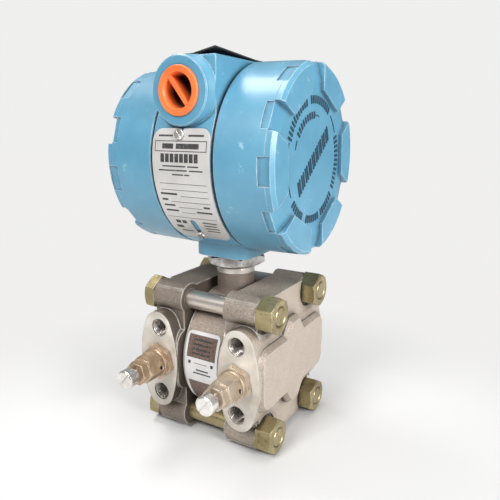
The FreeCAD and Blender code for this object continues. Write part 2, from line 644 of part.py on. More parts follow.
def cover(turn_deg):
    """The right hand screw cover: a drafted skirt with grip pockets, and six lugs round its end."""
    start = BAND_HALF + COVER_GAP
    bore = SPIGOT_RIM_R + COVER_THREAD_GAP
    inner_x = COVER_FACE_X - COVER_WALL
    relief = start + COVER_THREAD_L
    lug_r = COVER_END_R - 0.2
    step_r = COVER_END_R - 0.5
    shell = around_x([(start, bore), (start, COVER_R - 0.5), (start + 0.5, COVER_R), (COVER_SEAM_X, COVER_END_R),
                      (COVER_SEAM_X, step_r), (COVER_FACE_X, DISC_R), (COVER_FACE_X, 0), (inner_x, 0),
                      (inner_x, bore - 3), (inner_x - 2, bore - 1), (relief, bore - 1), (relief, bore)], HOUSING_Z)
    drum = around_x([(COVER_SEAM_X - 1, 0), (COVER_SEAM_X - 1, lug_r), (LUG_X - LUG_EDGE, lug_r),
                     (LUG_X, lug_r - LUG_EDGE), (LUG_X, 0)], HOUSING_Z)
    near, far = LUG_CHORD, COVER_R + 6
    root = COVER_R * math.cos(math.radians(LUG_HALF_DEG))
    spread = (COVER_R * math.sin(math.radians(LUG_HALF_DEG)) - LUG_CHORD_HALF) / (root - near)
    wide = LUG_CHORD_HALF + spread * (far - near)
    x0 = COVER_SEAM_X - 1
    lugs = []
    for k in range(LUG_COUNT):
        wedge = polygon_face([V(x0, -near, LUG_CHORD_HALF), V(x0, -far, wide), V(x0, -far, -wide),
                              V(x0, -near, -LUG_CHORD_HALF)]).extrude(X_AXIS * (LUG_X + 1 - x0))
        wedge.translate(V(0, 0, HOUSING_Z))
        wedge.rotate(V(0, 0, HOUSING_Z), X_AXIS, 360 / LUG_COUNT * k)
        lugs.append(wedge.common(drum))
    body = shell.fuse(lugs)
    pocket_half = COVER_R * math.sin(math.radians(POCKET_HALF_DEG))
    pockets = []
    for k in range(POCKET_COUNT):
        floor = POCKET_DEPTH - COVER_END_R
        pocket = block(POCKET_X, POCKET_END_X, floor - POCKET_DEPTH - 3, floor, -pocket_half, pocket_half)
        pocket.translate(V(0, 0, HOUSING_Z))
        pocket.rotate(V(0, 0, HOUSING_Z), X_AXIS, 360 / POCKET_COUNT * k)
        pockets.append(pocket)
    body = body.cut(pockets)
    body.rotate(V(0, 0, HOUSING_Z), X_AXIS, turn_deg)
    return body


def cover_seal():
    """The black ring that shows as a line between the band and the right hand cover."""
    return seal_ring(COVER_R - COVER_SEAL_INSET, COVER_SEAL_SECTION_R, BAND_HALF + COVER_GAP / 2, HOUSING_Z)


# Plates, screws and plug ---------------------------------------------------------------------------------------

def slot_cutter(x, start_deg, end_deg, radius, inner_r, outer_r):
    """A slot round the drum from one angle to another, as wide as twice the radius."""
    a0, a1 = sorted((start_deg, end_deg))
    tube = along_x(outer_r, x - radius, x + radius, 0, HOUSING_Z)
    tube = tube.cut(along_x(inner_r, x - radius - 1, x + radius + 1, 0, HOUSING_Z))
    reach = outer_r * 2
    wedge = polygon_face([V(x - radius - 1, 0, HOUSING_Z), band_point(a0, reach, x - radius - 1),
                          band_point((a0 + a1) / 2, reach, x - radius - 1), band_point(a1, reach, x - radius - 1)])
    wedge = wedge.extrude(X_AXIS * (2 * radius + 2))
    parts = [tube.common(wedge)]
    for degrees in (a0, a1):
        parts.append(cylinder(radius, outer_r - inner_r, band_point(degrees, inner_r, x), outward(degrees)))
    return parts[0].fuse(parts[1:])


def nameplate():
    """The plate bent round the front of the housing, slotted so that it slides down off the two adjusters."""
    inner = BAND_R + PLATE_LIFT
    sheet = curved_sheet(inner, PLATE_T, PLATE_HALF_X, PLATE_TOP_DEG, PLATE_BOTTOM_DEG, HOUSING_Z, PLATE_CORNER_R)
    slot_r = PLATE_SCREW_R + 0.35
    upper = slot_cutter(PLATE_SCREW_X, TOP_SCREW_DEG, -PLATE_TOP_DEG - 6, slot_r, BAND_R - 2, inner + PLATE_T + 2)
    lower = slot_cutter(PLATE_SCREW_X, BOTTOM_SCREW_DEG, BOTTOM_SCREW_DEG - PLATE_TRAVEL_DEG, slot_r, BAND_R - 2,
                        inner + PLATE_T + 2)
    return sheet.cut([upper, lower])


def nameplate_screws():
    solids = []
    head_r0 = BAND_R + PLATE_LIFT + PLATE_T + 0.15
    for degrees, slot_deg in ((TOP_SCREW_DEG, -45), (BOTTOM_SCREW_DEG, 60)):
        out = outward(degrees)
        shank = cylinder(PLATE_SCREW_R, head_r0 - BAND_R + 5.0, band_point(degrees, BAND_R - 5.0, PLATE_SCREW_X), out)
        head = cylinder(PLATE_SCREW_HEAD_R, PLATE_SCREW_HEAD_H, band_point(degrees, head_r0, PLATE_SCREW_X), out)
        rim = [e for e in head.Edges if len(e.Vertexes) == 1 and
               (e.Vertexes[0].Point - V(0, 0, HOUSING_Z)).Length > head_r0 + PLATE_SCREW_HEAD_H / 2]
        head = head.makeChamfer(0.4, rim)
        slot = block(-PLATE_SCREW_HEAD_R - 1, PLATE_SCREW_HEAD_R + 1, -0.35, 0.35, 0, 2)
        slot.rotate(V(0, 0, 0), Z_AXIS, slot_deg)
        turn = FreeCAD.Rotation(Z_AXIS, out)
        slot.Placement = FreeCAD.Placement(band_point(degrees, head_r0 + PLATE_SCREW_HEAD_H - 0.6, PLATE_SCREW_X), turn).multiply(
            slot.Placement)
        solids.append(shank.fuse(head).cut(slot).removeSplitter())
    return group(solids)


def adjust_screw(x):
    """One slotted adjuster, sunk in the band under the nameplate."""
    out = outward(ADJUST_DEG)
    top_r = BAND_R - ADJUST_SINK
    pin = cylinder(ADJUST_R, ADJUST_L - 0.4, band_point(ADJUST_DEG, top_r - ADJUST_L + 0.4, x), out)
    slot = block(-ADJUST_R - 1, ADJUST_R + 1, -0.4, 0.4, 0, 2)
    turn = FreeCAD.Rotation(Z_AXIS, out)
    slot.Placement = FreeCAD.Placement(band_point(ADJUST_DEG, top_r - 1.0, x), turn)
    return pin.cut(slot)


def top_plate():
    """The bare black plate on the flat top of the housing; its front right corner is bent up."""
    z = HOUSING_Z + BAND_R
    x1, y1 = TOP_PLATE_HALF_X, TOP_PLATE_HALF_Y
    crease_front = V(x1 - TOP_PLATE_FOLD, -y1, z)
    crease_side = V(x1, -y1 + TOP_PLATE_FOLD_BACK, z)
    shave_x, shave_y = HUMP_SHAVE_X, y1 - HUMP_SHAVE_Y
    flat = polygon_face([V(-x1, -shave_y, z), V(-shave_x, -y1, z), crease_front, crease_side, V(x1, y1, z),
                         V(-shave_x, y1, z), V(-x1, shave_y, z)])
    flat = flat.extrude(Z_AXIS * TOP_PLATE_T)
    flap = polygon_face([crease_front, V(x1, -y1, z), crease_side]).extrude(Z_AXIS * TOP_PLATE_T)
    flap.rotate(crease_front, crease_side - crease_front, -TOP_PLATE_LIFT_DEG)
    if flap.BoundBox.ZMin < z - 0.05:
        flap.rotate(crease_front, crease_side - crease_front, 2 * TOP_PLATE_LIFT_DEG)
    plate = flat.fuse(flap).removeSplitter()
    holes = [along_z(TOP_PIN_R + THREAD_FIT, z - 1, z + 3, 0, y) for y in (-TOP_PIN_Y, TOP_PIN_Y)]
    return plate.cut(holes)


def top_plate_pins():
    z = HOUSING_Z + BAND_R
    seat = z + TOP_PLATE_T
    solids = []
    for y in (-TOP_PIN_Y, TOP_PIN_Y):
        outline = [(z - TOP_PIN_L, 0), (z - TOP_PIN_L, TOP_PIN_R), (seat, TOP_PIN_R), (seat, TOP_PIN_HEAD_R),
                   (seat + TOP_PIN_HEAD_H / 2, TOP_PIN_HEAD_R * 0.8), (seat + TOP_PIN_HEAD_H, TOP_PIN_HEAD_R * 0.3),
                   (seat + TOP_PIN_HEAD_H, 0)]
        pin = around_z(outline)
        pin.translate(V(0, y, 0))
        solids.append(pin)
    return group(solids)


def conduit_plug():
    """The moulded plug in the front conduit: a flanged cup with a grip web across it."""
    z = HOUSING_Z + CONDUIT_Z
    face = -CONDUIT_FACE_Y
    front = face - PLUG_FLANGE_T
    shank_r = CONDUIT_BORE_R - PLUG_FIT
    end = face + PLUG_DEPTH
    cup = around_y([(front, PLUG_CUP_R + 0.6), (front, PLUG_FLANGE_R - 0.5), (front + 0.5, PLUG_FLANGE_R),
                    (face, PLUG_FLANGE_R), (face, shank_r), (end - 1, shank_r), (end, shank_r - 1), (end, 0),
                    (end - 1.4, 0), (end - 1.4, PLUG_CUP_R - 0.8), (front + 1.2, PLUG_CUP_R)], 0, z)
    web = block(-PLUG_WEB_T / 2, PLUG_WEB_T / 2, front + 1.0, end - 0.5, -PLUG_CUP_R - 0.5, PLUG_CUP_R + 0.5)
    web.rotate(V(0, 0, 0), Y_AXIS, PLUG_WEB_DEG)
    web.translate(V(0, 0, z))
    return cup.fuse(web).removeSplitter()


# Inside the compartments ---------------------------------------------------------------------------------------

def standoff_places():
    return [(STANDOFF_PCD_R * math.cos(math.radians(a)), HOUSING_Z + STANDOFF_PCD_R * math.sin(math.radians(a)))
            for a in (45, 165, 285)]


def circuit_board(index):
    """A round board with the parts that stand on it; the inner board is lower and has fewer parts."""
    x = BOARD_X[index]
    board = along_x(BOARD_R, x, x + BOARD_T, 0, HOUSING_Z)
    parts = [(-14, -10, 16, 10, 3.0), (6, -18, 12, 18, 4.0), (-20, 8, 9, 14, 5.0), (4, 8, 14, 9, 2.4)]
    solids = []
    for y, z, wide, tall, high in parts[index:]:
        solids.append(block(x + BOARD_T, x + BOARD_T + high, y, y + wide, HOUSING_Z + z, HOUSING_Z + z + tall))
    holes = [along_x(STANDOFF_STUD_R + THREAD_FIT, x - 1, x + BOARD_T + 1, y, z) for y, z in standoff_places()]
    return board.fuse(solids).cut(holes).removeSplitter()


def board_standoffs():
    solids = []
    for y, z in standoff_places():
        lower = along_x(STANDOFF_R, PARTITION_HALF, BOARD_X[0], y, z)
        upper = along_x(STANDOFF_R, BOARD_X[0] + BOARD_T, BOARD_X[1], y, z)
        stud = along_x(STANDOFF_STUD_R, BOARD_X[0] - 1, BOARD_X[1] + 1, y, z)
        tapped = along_x(BOARD_SCREW_R + THREAD_FIT, BOARD_X[1] - 6, BOARD_X[1] + 2, y, z)
        solids.append(lower.fuse([upper, stud]).cut(tapped))
    return group(solids)


def board_screws():
    solids = []
    x = BOARD_X[1] + BOARD_T
    for y, z in standoff_places():
        head = along_x(BOARD_SCREW_HEAD_R, x, x + BOARD_SCREW_HEAD_H, y, z)
        solids.append(along_x(BOARD_SCREW_R, x - 5, x, y, z).fuse(head))
    return group(solids)


def terminal_places():
    first = -(TERMINAL_COUNT - 1) * TERMINAL_PITCH / 2
    return [first + TERMINAL_PITCH * k for k in range(TERMINAL_COUNT)]


def terminal_block():
    depth, wide, tall = BLOCK_SIZE
    back = -PARTITION_HALF
    z = HOUSING_Z - BLOCK_DROP
    body = block(back - depth, back, -wide / 2, wide / 2, z - tall / 2, z + tall / 2)
    cuts = []
    for y in terminal_places():
        cuts.append(block(back - depth - 1, back - depth + TERMINAL_STEP, y - 4.5, y + 4.5, z - tall / 2 - 1, z + 6))
        cuts.append(along_x(TERMINAL_SCREW_R + THREAD_FIT, back - depth, back - 2, y, z))
    return body.cut(cuts)


def terminal_screws():
    depth = BLOCK_SIZE[0]
    floor = -PARTITION_HALF - depth + TERMINAL_STEP
    z = HOUSING_Z - BLOCK_DROP
    solids = []
    for y in terminal_places():
        screw = along_x(TERMINAL_SCREW_R, floor, floor + 5, y, z)
        screw = screw.fuse(along_x(TERMINAL_HEAD_R, floor - TERMINAL_HEAD_H, floor, y, z))
        slot = block(floor - TERMINAL_HEAD_H - 1, floor - TERMINAL_HEAD_H / 2, y - 5, y + 5, z - 0.5, z + 0.5)
        solids.append(screw.cut(slot).removeSplitter())
    return group(solids)


def feedthrough():
    """The sealed bush that carries the wires through the wall between the compartments."""
    p = PARTITION_HALF
    lip = FEED_R + FEED_FLANGE
    return around_x([(-p - 2, 0), (-p - 2, lip), (-p, lip), (-p, FEED_R), (p + 3, FEED_R), (p + 3, 0)], HOUSING_Z)


def ground_screw():
    back = -PARTITION_HALF
    place = CAVITY_R * 0.52
    return chamfered_hexagon(GROUND_AF, V(back - GROUND_H, place, HOUSING_Z + place), X_AXIS, GROUND_H)


def export(name, shape):
    """Check one piece and write it in the part's own frame."""
    if not shape.isValid():
        raise ValueError(name + " is not a valid solid")
    placed = shape.copy()
    placed.translate(V(0, -PORT_FACE_Y, 0))
    placed.exportStep("parts/" + name + ".step")


def main():
    os.makedirs("parts", exist_ok=True)
    high, port = flange(), PORT_PITCH / 2
    pieces = {
        "flange_high": high,
        "flange_low": mirrored_x(high),
        "flange_bolts": flange_bolts(),
        "flange_nuts": flange_nuts(),
        "sensor_module": sensor_module(),
        "module_label": module_label(),
        "diaphragm_high": diaphragm(),
        "diaphragm_low": mirrored_x(diaphragm()),
        "process_seal_high": process_seal(),
        "process_seal_low": mirrored_x(process_seal()),
        "housing": housing(),
        "lock_nut": lock_nut(),
        "cover_right": cover(RIGHT_COVER_DEG),
        "cover_left": mirrored_x(cover(LEFT_COVER_DEG)),
        "cover_seal_right": cover_seal(),
        "cover_seal_left": mirrored_x(cover_seal()),
        "nameplate": nameplate(),
        "nameplate_screws": nameplate_screws(),
        "zero_screw": adjust_screw(-ADJUST_X),
        "span_screw": adjust_screw(ADJUST_X),
        "top_plate": top_plate(),
        "top_plate_pins": top_plate_pins(),
        "conduit_plug": conduit_plug(),
        "inner_board": circuit_board(0),
        "outer_board": circuit_board(1),
        "board_standoffs": board_standoffs(),
        "board_screws": board_screws(),
        "terminal_block": terminal_block(),
        "terminal_screws": terminal_screws(),
        "feedthrough": feedthrough(),
        "ground_screw": ground_screw(),
    }
    for side, x in (("high", port), ("low", -port)):
        pieces["vent_seat_" + side] = vent_seat(x)
        pieces["vent_body_" + side] = vent_body(x)
        pieces["bleed_screw_" + side] = bleed_screw(x)
        pieces["valve_ball_" + side] = valve_ball(x)
    for name, shape in pieces.items():
        export(name, shape)


if __name__ == "__main__":
    main()
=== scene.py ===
import bpy
import json
import math
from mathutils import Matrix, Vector


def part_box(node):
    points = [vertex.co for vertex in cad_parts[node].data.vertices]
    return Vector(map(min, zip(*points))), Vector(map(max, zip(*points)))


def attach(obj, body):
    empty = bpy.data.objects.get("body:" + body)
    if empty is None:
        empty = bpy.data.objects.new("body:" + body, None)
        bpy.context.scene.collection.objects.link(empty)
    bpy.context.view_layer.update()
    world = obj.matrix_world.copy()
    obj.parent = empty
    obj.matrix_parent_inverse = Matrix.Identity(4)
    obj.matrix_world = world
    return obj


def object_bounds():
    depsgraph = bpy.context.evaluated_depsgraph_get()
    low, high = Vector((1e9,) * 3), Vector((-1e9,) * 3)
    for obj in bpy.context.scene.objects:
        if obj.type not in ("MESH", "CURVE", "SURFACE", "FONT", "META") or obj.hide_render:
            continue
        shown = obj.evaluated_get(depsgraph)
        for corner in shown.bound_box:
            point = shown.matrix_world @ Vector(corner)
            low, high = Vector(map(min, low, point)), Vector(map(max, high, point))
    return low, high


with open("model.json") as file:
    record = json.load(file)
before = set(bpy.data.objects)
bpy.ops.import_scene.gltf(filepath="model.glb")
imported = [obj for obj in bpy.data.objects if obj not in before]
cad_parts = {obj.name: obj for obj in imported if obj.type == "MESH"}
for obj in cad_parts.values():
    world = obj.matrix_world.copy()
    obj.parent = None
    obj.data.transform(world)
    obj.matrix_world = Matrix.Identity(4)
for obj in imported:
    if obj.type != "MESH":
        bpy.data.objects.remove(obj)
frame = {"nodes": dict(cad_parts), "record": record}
nodes = frame["nodes"]
cad_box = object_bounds()
MM = 0.001


# Shader helpers ----------------------------------------------------------------------------------------
# Short forms of the nodes that the materials are made of. Every pattern lies on Object coordinates, so it
# stays on its piece when the piece moves.
RAY_SAMPLES = 6


def add(tree, kind, inputs=None, **settings):
    """One shader node. An input is a plain value, or another node's output, which is then linked to it."""
    made = tree.nodes.new(kind)
    for key, value in settings.items():
        setattr(made, key, value)
    for key, value in (inputs or {}).items():
        if isinstance(value, bpy.types.NodeSocket):
            tree.links.new(value, made.inputs[key])
        else:
            made.inputs[key].default_value = value
    return made


def new_material(name):
    """An empty node material and its tree."""
    material = bpy.data.materials.new(name)
    material.use_nodes = True
    material.node_tree.nodes.clear()
    return material, material.node_tree


def place_in(tree):
    """Where a point lies on its piece."""
    return add(tree, "ShaderNodeTexCoord").outputs["Object"]


def parts_of(tree, vector):
    """The X, Y and Z of a vector."""
    return add(tree, "ShaderNodeSeparateXYZ", {"Vector": vector}).outputs


def combined(tree, operation, first, second=0.0):
    """Two values joined by one sum; an operation on one value needs no second."""
    return add(tree, "ShaderNodeMath", {0: first, 1: second}, operation=operation).outputs["Value"]


def distance(tree, first, second):
    """How far apart two places are."""
    return add(tree, "ShaderNodeVectorMath", {0: first, 1: second}, operation="DISTANCE").outputs["Value"]


def ramp(tree, value, low, high, to_low=0.0, to_high=1.0, **settings):
    """The value between low and high spread over to_low to to_high, held at the ends."""
    node = add(tree, "ShaderNodeMapRange", {"Value": value, "From Min": low, "From Max": high,
                                            "To Min": to_low, "To Max": to_high}, **settings)
    return node.outputs["Result"]


def noise(tree, place, scale, detail=2.0, roughness=0.5, distortion=0.0):
    """A cloudy value over the piece."""
    node = add(tree, "ShaderNodeTexNoise", {"Vector": place, "Scale": scale, "Detail": detail,
                                            "Roughness": roughness, "Distortion": distortion})
    return node.outputs[0]


def blended(tree, amount, first, second):
    """A colour between two colours."""
    return add(tree, "ShaderNodeMix", {0: amount, 6: first, 7: second}, data_type="RGBA").outputs[2]


def painted_crease_shade(tree, reach, open_from, shut_at, most):
    """A painted shade mask: it rises to most where other surfaces within reach hide this one, darkening
    corners and gaps.
    """
    hidden = add(tree, "ShaderNodeAmbientOcclusion", {"Distance": reach}, samples=RAY_SAMPLES)
    return ramp(tree, hidden.outputs["AO"], open_from, shut_at, 0.0, most)


def either_shader(tree, amount, first, second):
    """One shader or the other, by an amount."""
    return add(tree, "ShaderNodeMixShader", {0: amount, 1: first, 2: second}).outputs["Shader"]


def finish(tree, colour, roughness, normal, **fixed):
    """The principled shader with the parts that change over the surface linked, and the rest set on it."""
    shader = add(tree, "ShaderNodeBsdfPrincipled", {"Base Color": colour, "Roughness": roughness,
                                                    "Normal": normal})
    for key, value in fixed.items():
        shader.inputs[key.replace("_", " ")].default_value = value
    add(tree, "ShaderNodeOutputMaterial", {"Surface": shader.outputs["BSDF"]})
    return shader


def paint(piece, material):
    """The material as the only one on the piece."""
    piece.data.materials.clear()
    piece.data.materials.append(material)


def dress(material, *names):
    """The material on these nodes of the model."""
    for name in names:
        paint(nodes[name], material)


# Camera and studio -------------------------------------------------------------------------------------
# The camera stands in front of the vent valves and to the right, a little above the housing's middle. The
# floor is pale and matt and fades to an even pale tone away from the part. Four soft boxes light it.
CAMERA_PLACE = Vector((0.16512, -0.30336, 0.13699))
CAMERA_PITCH_DOWN = 13.74
CAMERA_YAW = 30.57
CAMERA_ROLL = -0.23
CAMERA_LENS = 36.87
CAMERA_SHIFT = (-0.0037, 0.0039)
CLIP_START = 10 * MM
FLOOR_R = 4.0
FLOOR_TONE = (0.872, 0.866, 0.86, 1)
FLOOR_MATT = (0.695, 0.692, 0.69, 1)
FADE_FROM = 90 * MM
FADE_TO = 250 * MM
AIR_LIGHT = (1.0, 0.985, 0.965, 1)
AIR_STRENGTH = 0.22
BACKDROP = (0.865, 0.865, 0.86, 1)
SOFT_BOXES = (  # name, place, width in metres, watts
    ("key_box", (-0.12, -0.85, 0.80), 0.32, 8.0),
    ("side_box", (1.0, -0.35, 0.42), 0.42, 12.6),
    ("top_box", (0.10, 0.10, 1.10), 0.7, 3.0),
    ("left_box", (-0.50, 0.02, 1.05), 0.40, 5.0))

bpy.context.scene.view_settings.view_transform = "Standard"
bpy.ops.object.camera_add(location=CAMERA_PLACE, rotation=(
    math.radians(90 - CAMERA_PITCH_DOWN), math.radians(CAMERA_ROLL), math.radians(CAMERA_YAW)))
camera = bpy.context.object
camera.data.lens = CAMERA_LENS
camera.data.shift_x, camera.data.shift_y = CAMERA_SHIFT
camera.data.clip_start = CLIP_START
bpy.context.scene.camera = camera

centre = (Vector(cad_box[0]) + Vector(cad_box[1])) / 2
floor_centre = (centre.x, centre.y, cad_box[0][2])
bpy.ops.object.select_all(action="DESELECT")
bpy.ops.mesh.primitive_circle_add(vertices=96, radius=FLOOR_R, fill_type="NGON", location=floor_centre)
floor = bpy.context.object
floor.name = "studio_floor"
bpy.ops.object.transform_apply(location=True)
floor_material, tree = new_material("floor_matt")
away = distance(tree, place_in(tree), floor_centre)
fade = ramp(tree, away, FADE_FROM, FADE_TO, interpolation_type="SMOOTHSTEP")
seen = add(tree, "ShaderNodeLightPath").outputs
matt = add(tree, "ShaderNodeBsdfDiffuse", {"Color": FLOOR_MATT}).outputs["BSDF"]
even = add(tree, "ShaderNodeEmission", {"Color": FLOOR_TONE, "Strength": 1.0}).outputs["Emission"]
shown = either_shader(tree, combined(tree, "MULTIPLY", fade, seen["Is Camera Ray"]), matt, even)
add(tree, "ShaderNodeOutputMaterial", {"Surface": shown})
paint(floor, floor_material)

world = bpy.data.worlds.new("studio_air")
bpy.context.scene.world = world
world.use_nodes = True
tree = world.node_tree
tree.nodes.clear()
seen = add(tree, "ShaderNodeLightPath").outputs
direct = combined(tree, "MAXIMUM", seen["Is Camera Ray"], seen["Is Transmission Ray"])
air = add(tree, "ShaderNodeBackground", {"Color": AIR_LIGHT, "Strength": AIR_STRENGTH}).outputs["Background"]
backdrop = add(tree, "ShaderNodeBackground", {"Color": BACKDROP, "Strength": 1.0}).outputs["Background"]
add(tree, "ShaderNodeOutputWorld", {"Surface": either_shader(tree, direct, air, backdrop)})

for name, place, width, watts in SOFT_BOXES:
    bpy.ops.object.light_add(type="AREA", location=place)
    lamp = bpy.context.object
    lamp.name = name
    lamp.rotation_euler = (centre - Vector(place)).to_track_quat("-Z", "Y").to_euler()
    lamp.data.size = width
    lamp.data.energy = watts


# Wear, painted edge highlights and skin ------------------------------------------------------------------
# Two node groups that most finishes share: edges worn by handling and painted with a pale highlight, and the
# fine grain of the surface.
FLOAT, VECTOR = "NodeSocketFloat", "NodeSocketVector"
FLAT_AGREES = 0.995     # the rounded normal times the true one, on a flat face and on an edge
EDGE_AGREES = 0.90
# The noise thresholds below break up the pale edges, which are wear and painted highlight.
PATCH_HIGH = 0.62       # the noise where an edge is worn right through
PATCH_LOW = 0.78        # less the amount of wear, the noise where wear begins
COARSE_SCALE = 45.0


def new_group(name, inputs, outputs):
    """A shader node group: inputs as name, socket type, value; outputs as name, socket type."""
    group = bpy.data.node_groups.new(name, "ShaderNodeTree")
    for label, kind, value in inputs:
        group.interface.new_socket(label, in_out="INPUT", socket_type=kind).default_value = value
    for label, kind in outputs:
        group.interface.new_socket(label, in_out="OUTPUT", socket_type=kind)
    return group, group.nodes.new("NodeGroupInput").outputs, group.nodes.new("NodeGroupOutput").inputs


# Worn and lit edges: the rounded normal of the surface, and a mask that is 1 on edges, broken up by a noise.
# The pale colour that this mask lays on is wear and painted highlight.
worn_and_lit_edges, given, result = new_group(
    "worn_and_lit_edges", [("Radius", FLOAT, 0.5 * MM), ("Break Size", FLOAT, 300.0), ("Amount", FLOAT, 0.5)],
    [("Edge", FLOAT), ("Chips", FLOAT), ("Normal", VECTOR)])
rounded = add(worn_and_lit_edges, "ShaderNodeBevel", {"Radius": given["Radius"]}, samples=RAY_SAMPLES)
rounded = rounded.outputs["Normal"]
true_normal = add(worn_and_lit_edges, "ShaderNodeNewGeometry").outputs["Normal"]
agreement = add(worn_and_lit_edges, "ShaderNodeVectorMath", {0: rounded, 1: true_normal}, operation="DOT_PRODUCT")
bend = ramp(worn_and_lit_edges, agreement.outputs["Value"], FLAT_AGREES, EDGE_AGREES)
patches = noise(worn_and_lit_edges, place_in(worn_and_lit_edges), given["Break Size"], 4.0, 0.65)
patches_from = combined(worn_and_lit_edges, "SUBTRACT", PATCH_LOW, given["Amount"])
edge = combined(worn_and_lit_edges, "MULTIPLY", bend, ramp(worn_and_lit_edges, patches, patches_from, PATCH_HIGH))
worn_and_lit_edges.links.new(edge, result["Edge"])
worn_and_lit_edges.links.new(ramp(worn_and_lit_edges, edge, 0.55, 0.75), result["Chips"])
worn_and_lit_edges.links.new(rounded, result["Normal"])

# Fine skin: a two-scale noise as a tone, and the same noise as a bump over the normal that comes in.
fine_skin, given, result = new_group(
    "fine_skin", [("Size", FLOAT, 800.0), ("Depth", FLOAT, 0.02 * MM), ("Strength", FLOAT, 0.3),
                  ("Normal", VECTOR, (0, 0, 0))],
    [("Tone", FLOAT), ("Clouds", FLOAT), ("Normal", VECTOR)])
place = place_in(fine_skin)
fine = noise(fine_skin, place, given["Size"], 3.0, 0.6)
bump = add(fine_skin, "ShaderNodeBump", {"Strength": given["Strength"], "Distance": given["Depth"],
                                         "Height": fine, "Normal": given["Normal"]})
fine_skin.links.new(fine, result["Tone"])
fine_skin.links.new(noise(fine_skin, place, COARSE_SCALE, 5.0, 0.6), result["Clouds"])
fine_skin.links.new(bump.outputs["Normal"], result["Normal"])


def grained(tree, size, depth, strength, **more):
    """The fine skin as a node of a material."""
    return add(tree, "ShaderNodeGroup", {"Size": size, "Depth": depth, "Strength": strength, **more},
               node_tree=fine_skin).outputs


def surface(tree, radius, break_size, amount, grain, depth, strength):
    """Worn and lit edges, and the fine skin over their rounded normal."""
    edges = add(tree, "ShaderNodeGroup", {"Radius": radius, "Break Size": break_size, "Amount": amount},
                node_tree=worn_and_lit_edges).outputs
    return edges, grained(tree, grain, depth, strength, Normal=edges["Normal"])


def rubbed_and_lit(tree, edges, amount, colour, pale):
    """The colour with its edges made paler: wear from handling and a painted highlight."""
    return blended(tree, combined(tree, "MULTIPLY", edges["Edge"], amount), colour, pale)


# Housing and covers ------------------------------------------------------------------------------------
# The housing and its two screw covers are aluminium castings with a baked satin light blue paint. Edges are
# worn paler with a painted highlight and a few chips down to grey metal, corners get painted shade, and the
# skin has a fine orange peel.
BLUE = (0.112, 0.318, 0.455, 1)
BLUE_DEEP = (0.086, 0.268, 0.398, 1)
BLUE_CREASE_SHADE = (0.012, 0.05, 0.095, 1)
BLUE_WORN_AND_HIGHLIGHT = (0.56, 0.76, 0.86, 1)
BARE_ALUMINIUM = (0.36, 0.37, 0.38, 1)

blue_paint, tree = new_material("satin_blue_paint")
edges, skin = surface(tree, 0.8 * MM, 200.0, 0.52, 900.0, 0.06 * MM, 0.10)
place = place_in(tree)
colour = blended(tree, ramp(tree, skin["Clouds"], 0.35, 0.7), BLUE_DEEP, BLUE)
# Pale edges: wear with a painted highlight.
colour = rubbed_and_lit(tree, edges, 0.95, colour, BLUE_WORN_AND_HIGHLIGHT)
scuffed = combined(tree, "MULTIPLY", ramp(tree, noise(tree, place, 240.0, 7.0, 0.7), 0.60, 0.66),
                   ramp(tree, skin["Clouds"], 0.50, 0.62, 0.0, 0.55))
colour = blended(tree, scuffed, colour, BLUE_WORN_AND_HIGHLIGHT)
# Painted shade in corners, gaps and round the raised strokes.
colour = blended(tree, painted_crease_shade(tree, 3.5 * MM, 0.85, 0.35, 0.92), colour, BLUE_CREASE_SHADE)
specks = add(tree, "ShaderNodeTexVoronoi", {"Vector": place, "Scale": 150.0, "Randomness": 1.0}).outputs
few = add(tree, "ShaderNodeSeparateColor", {"Color": specks["Color"]}).outputs[0]
nicks = combined(tree, "MULTIPLY", ramp(tree, specks["Distance"], 0.13, 0.09), ramp(tree, few, 0.955, 0.965))
bare = combined(tree, "MAXIMUM", nicks, combined(tree, "MULTIPLY", edges["Chips"], 0.12))
colour = blended(tree, bare, colour, BARE_ALUMINIUM)
finish(tree, colour, ramp(tree, skin["Clouds"], 0.3, 0.7, 0.34, 0.42), skin["Normal"],
       Coat_Weight=0.4, Coat_Roughness=0.22)
dress(blue_paint, "housing", "cover_right", "cover_left")


# Sensor flanges ----------------------------------------------------------------------------------------
# The two process flanges are cast stainless steel, blasted to a fine matt grain. Their oval pads are
# machined bright on the front and rear faces, and the low side flange is the browner and darker casting.
CAST_LIGHT = (0.50, 0.425, 0.355, 1)
CAST_LIGHT_SHADE = (0.34, 0.285, 0.235, 1)
CAST_DARK = (0.33, 0.275, 0.23, 1)
CAST_DARK_SHADE = (0.22, 0.18, 0.145, 1)
CAST_GROUND = (0.60, 0.525, 0.445, 1)
CAST_DIRT_AND_SHADE = (0.075, 0.058, 0.045, 1)
PAD_DULL = (0.46, 0.415, 0.35, 1)
PAD_BRIGHT = (0.72, 0.685, 0.63, 1)
flange_front, flange_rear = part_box("flange_high")[0].y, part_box("flange_high")[1].y
FLANGE_MID_Y = (flange_front + flange_rear) / 2
FLANGE_HALF_Y = (flange_rear - flange_front) / 2


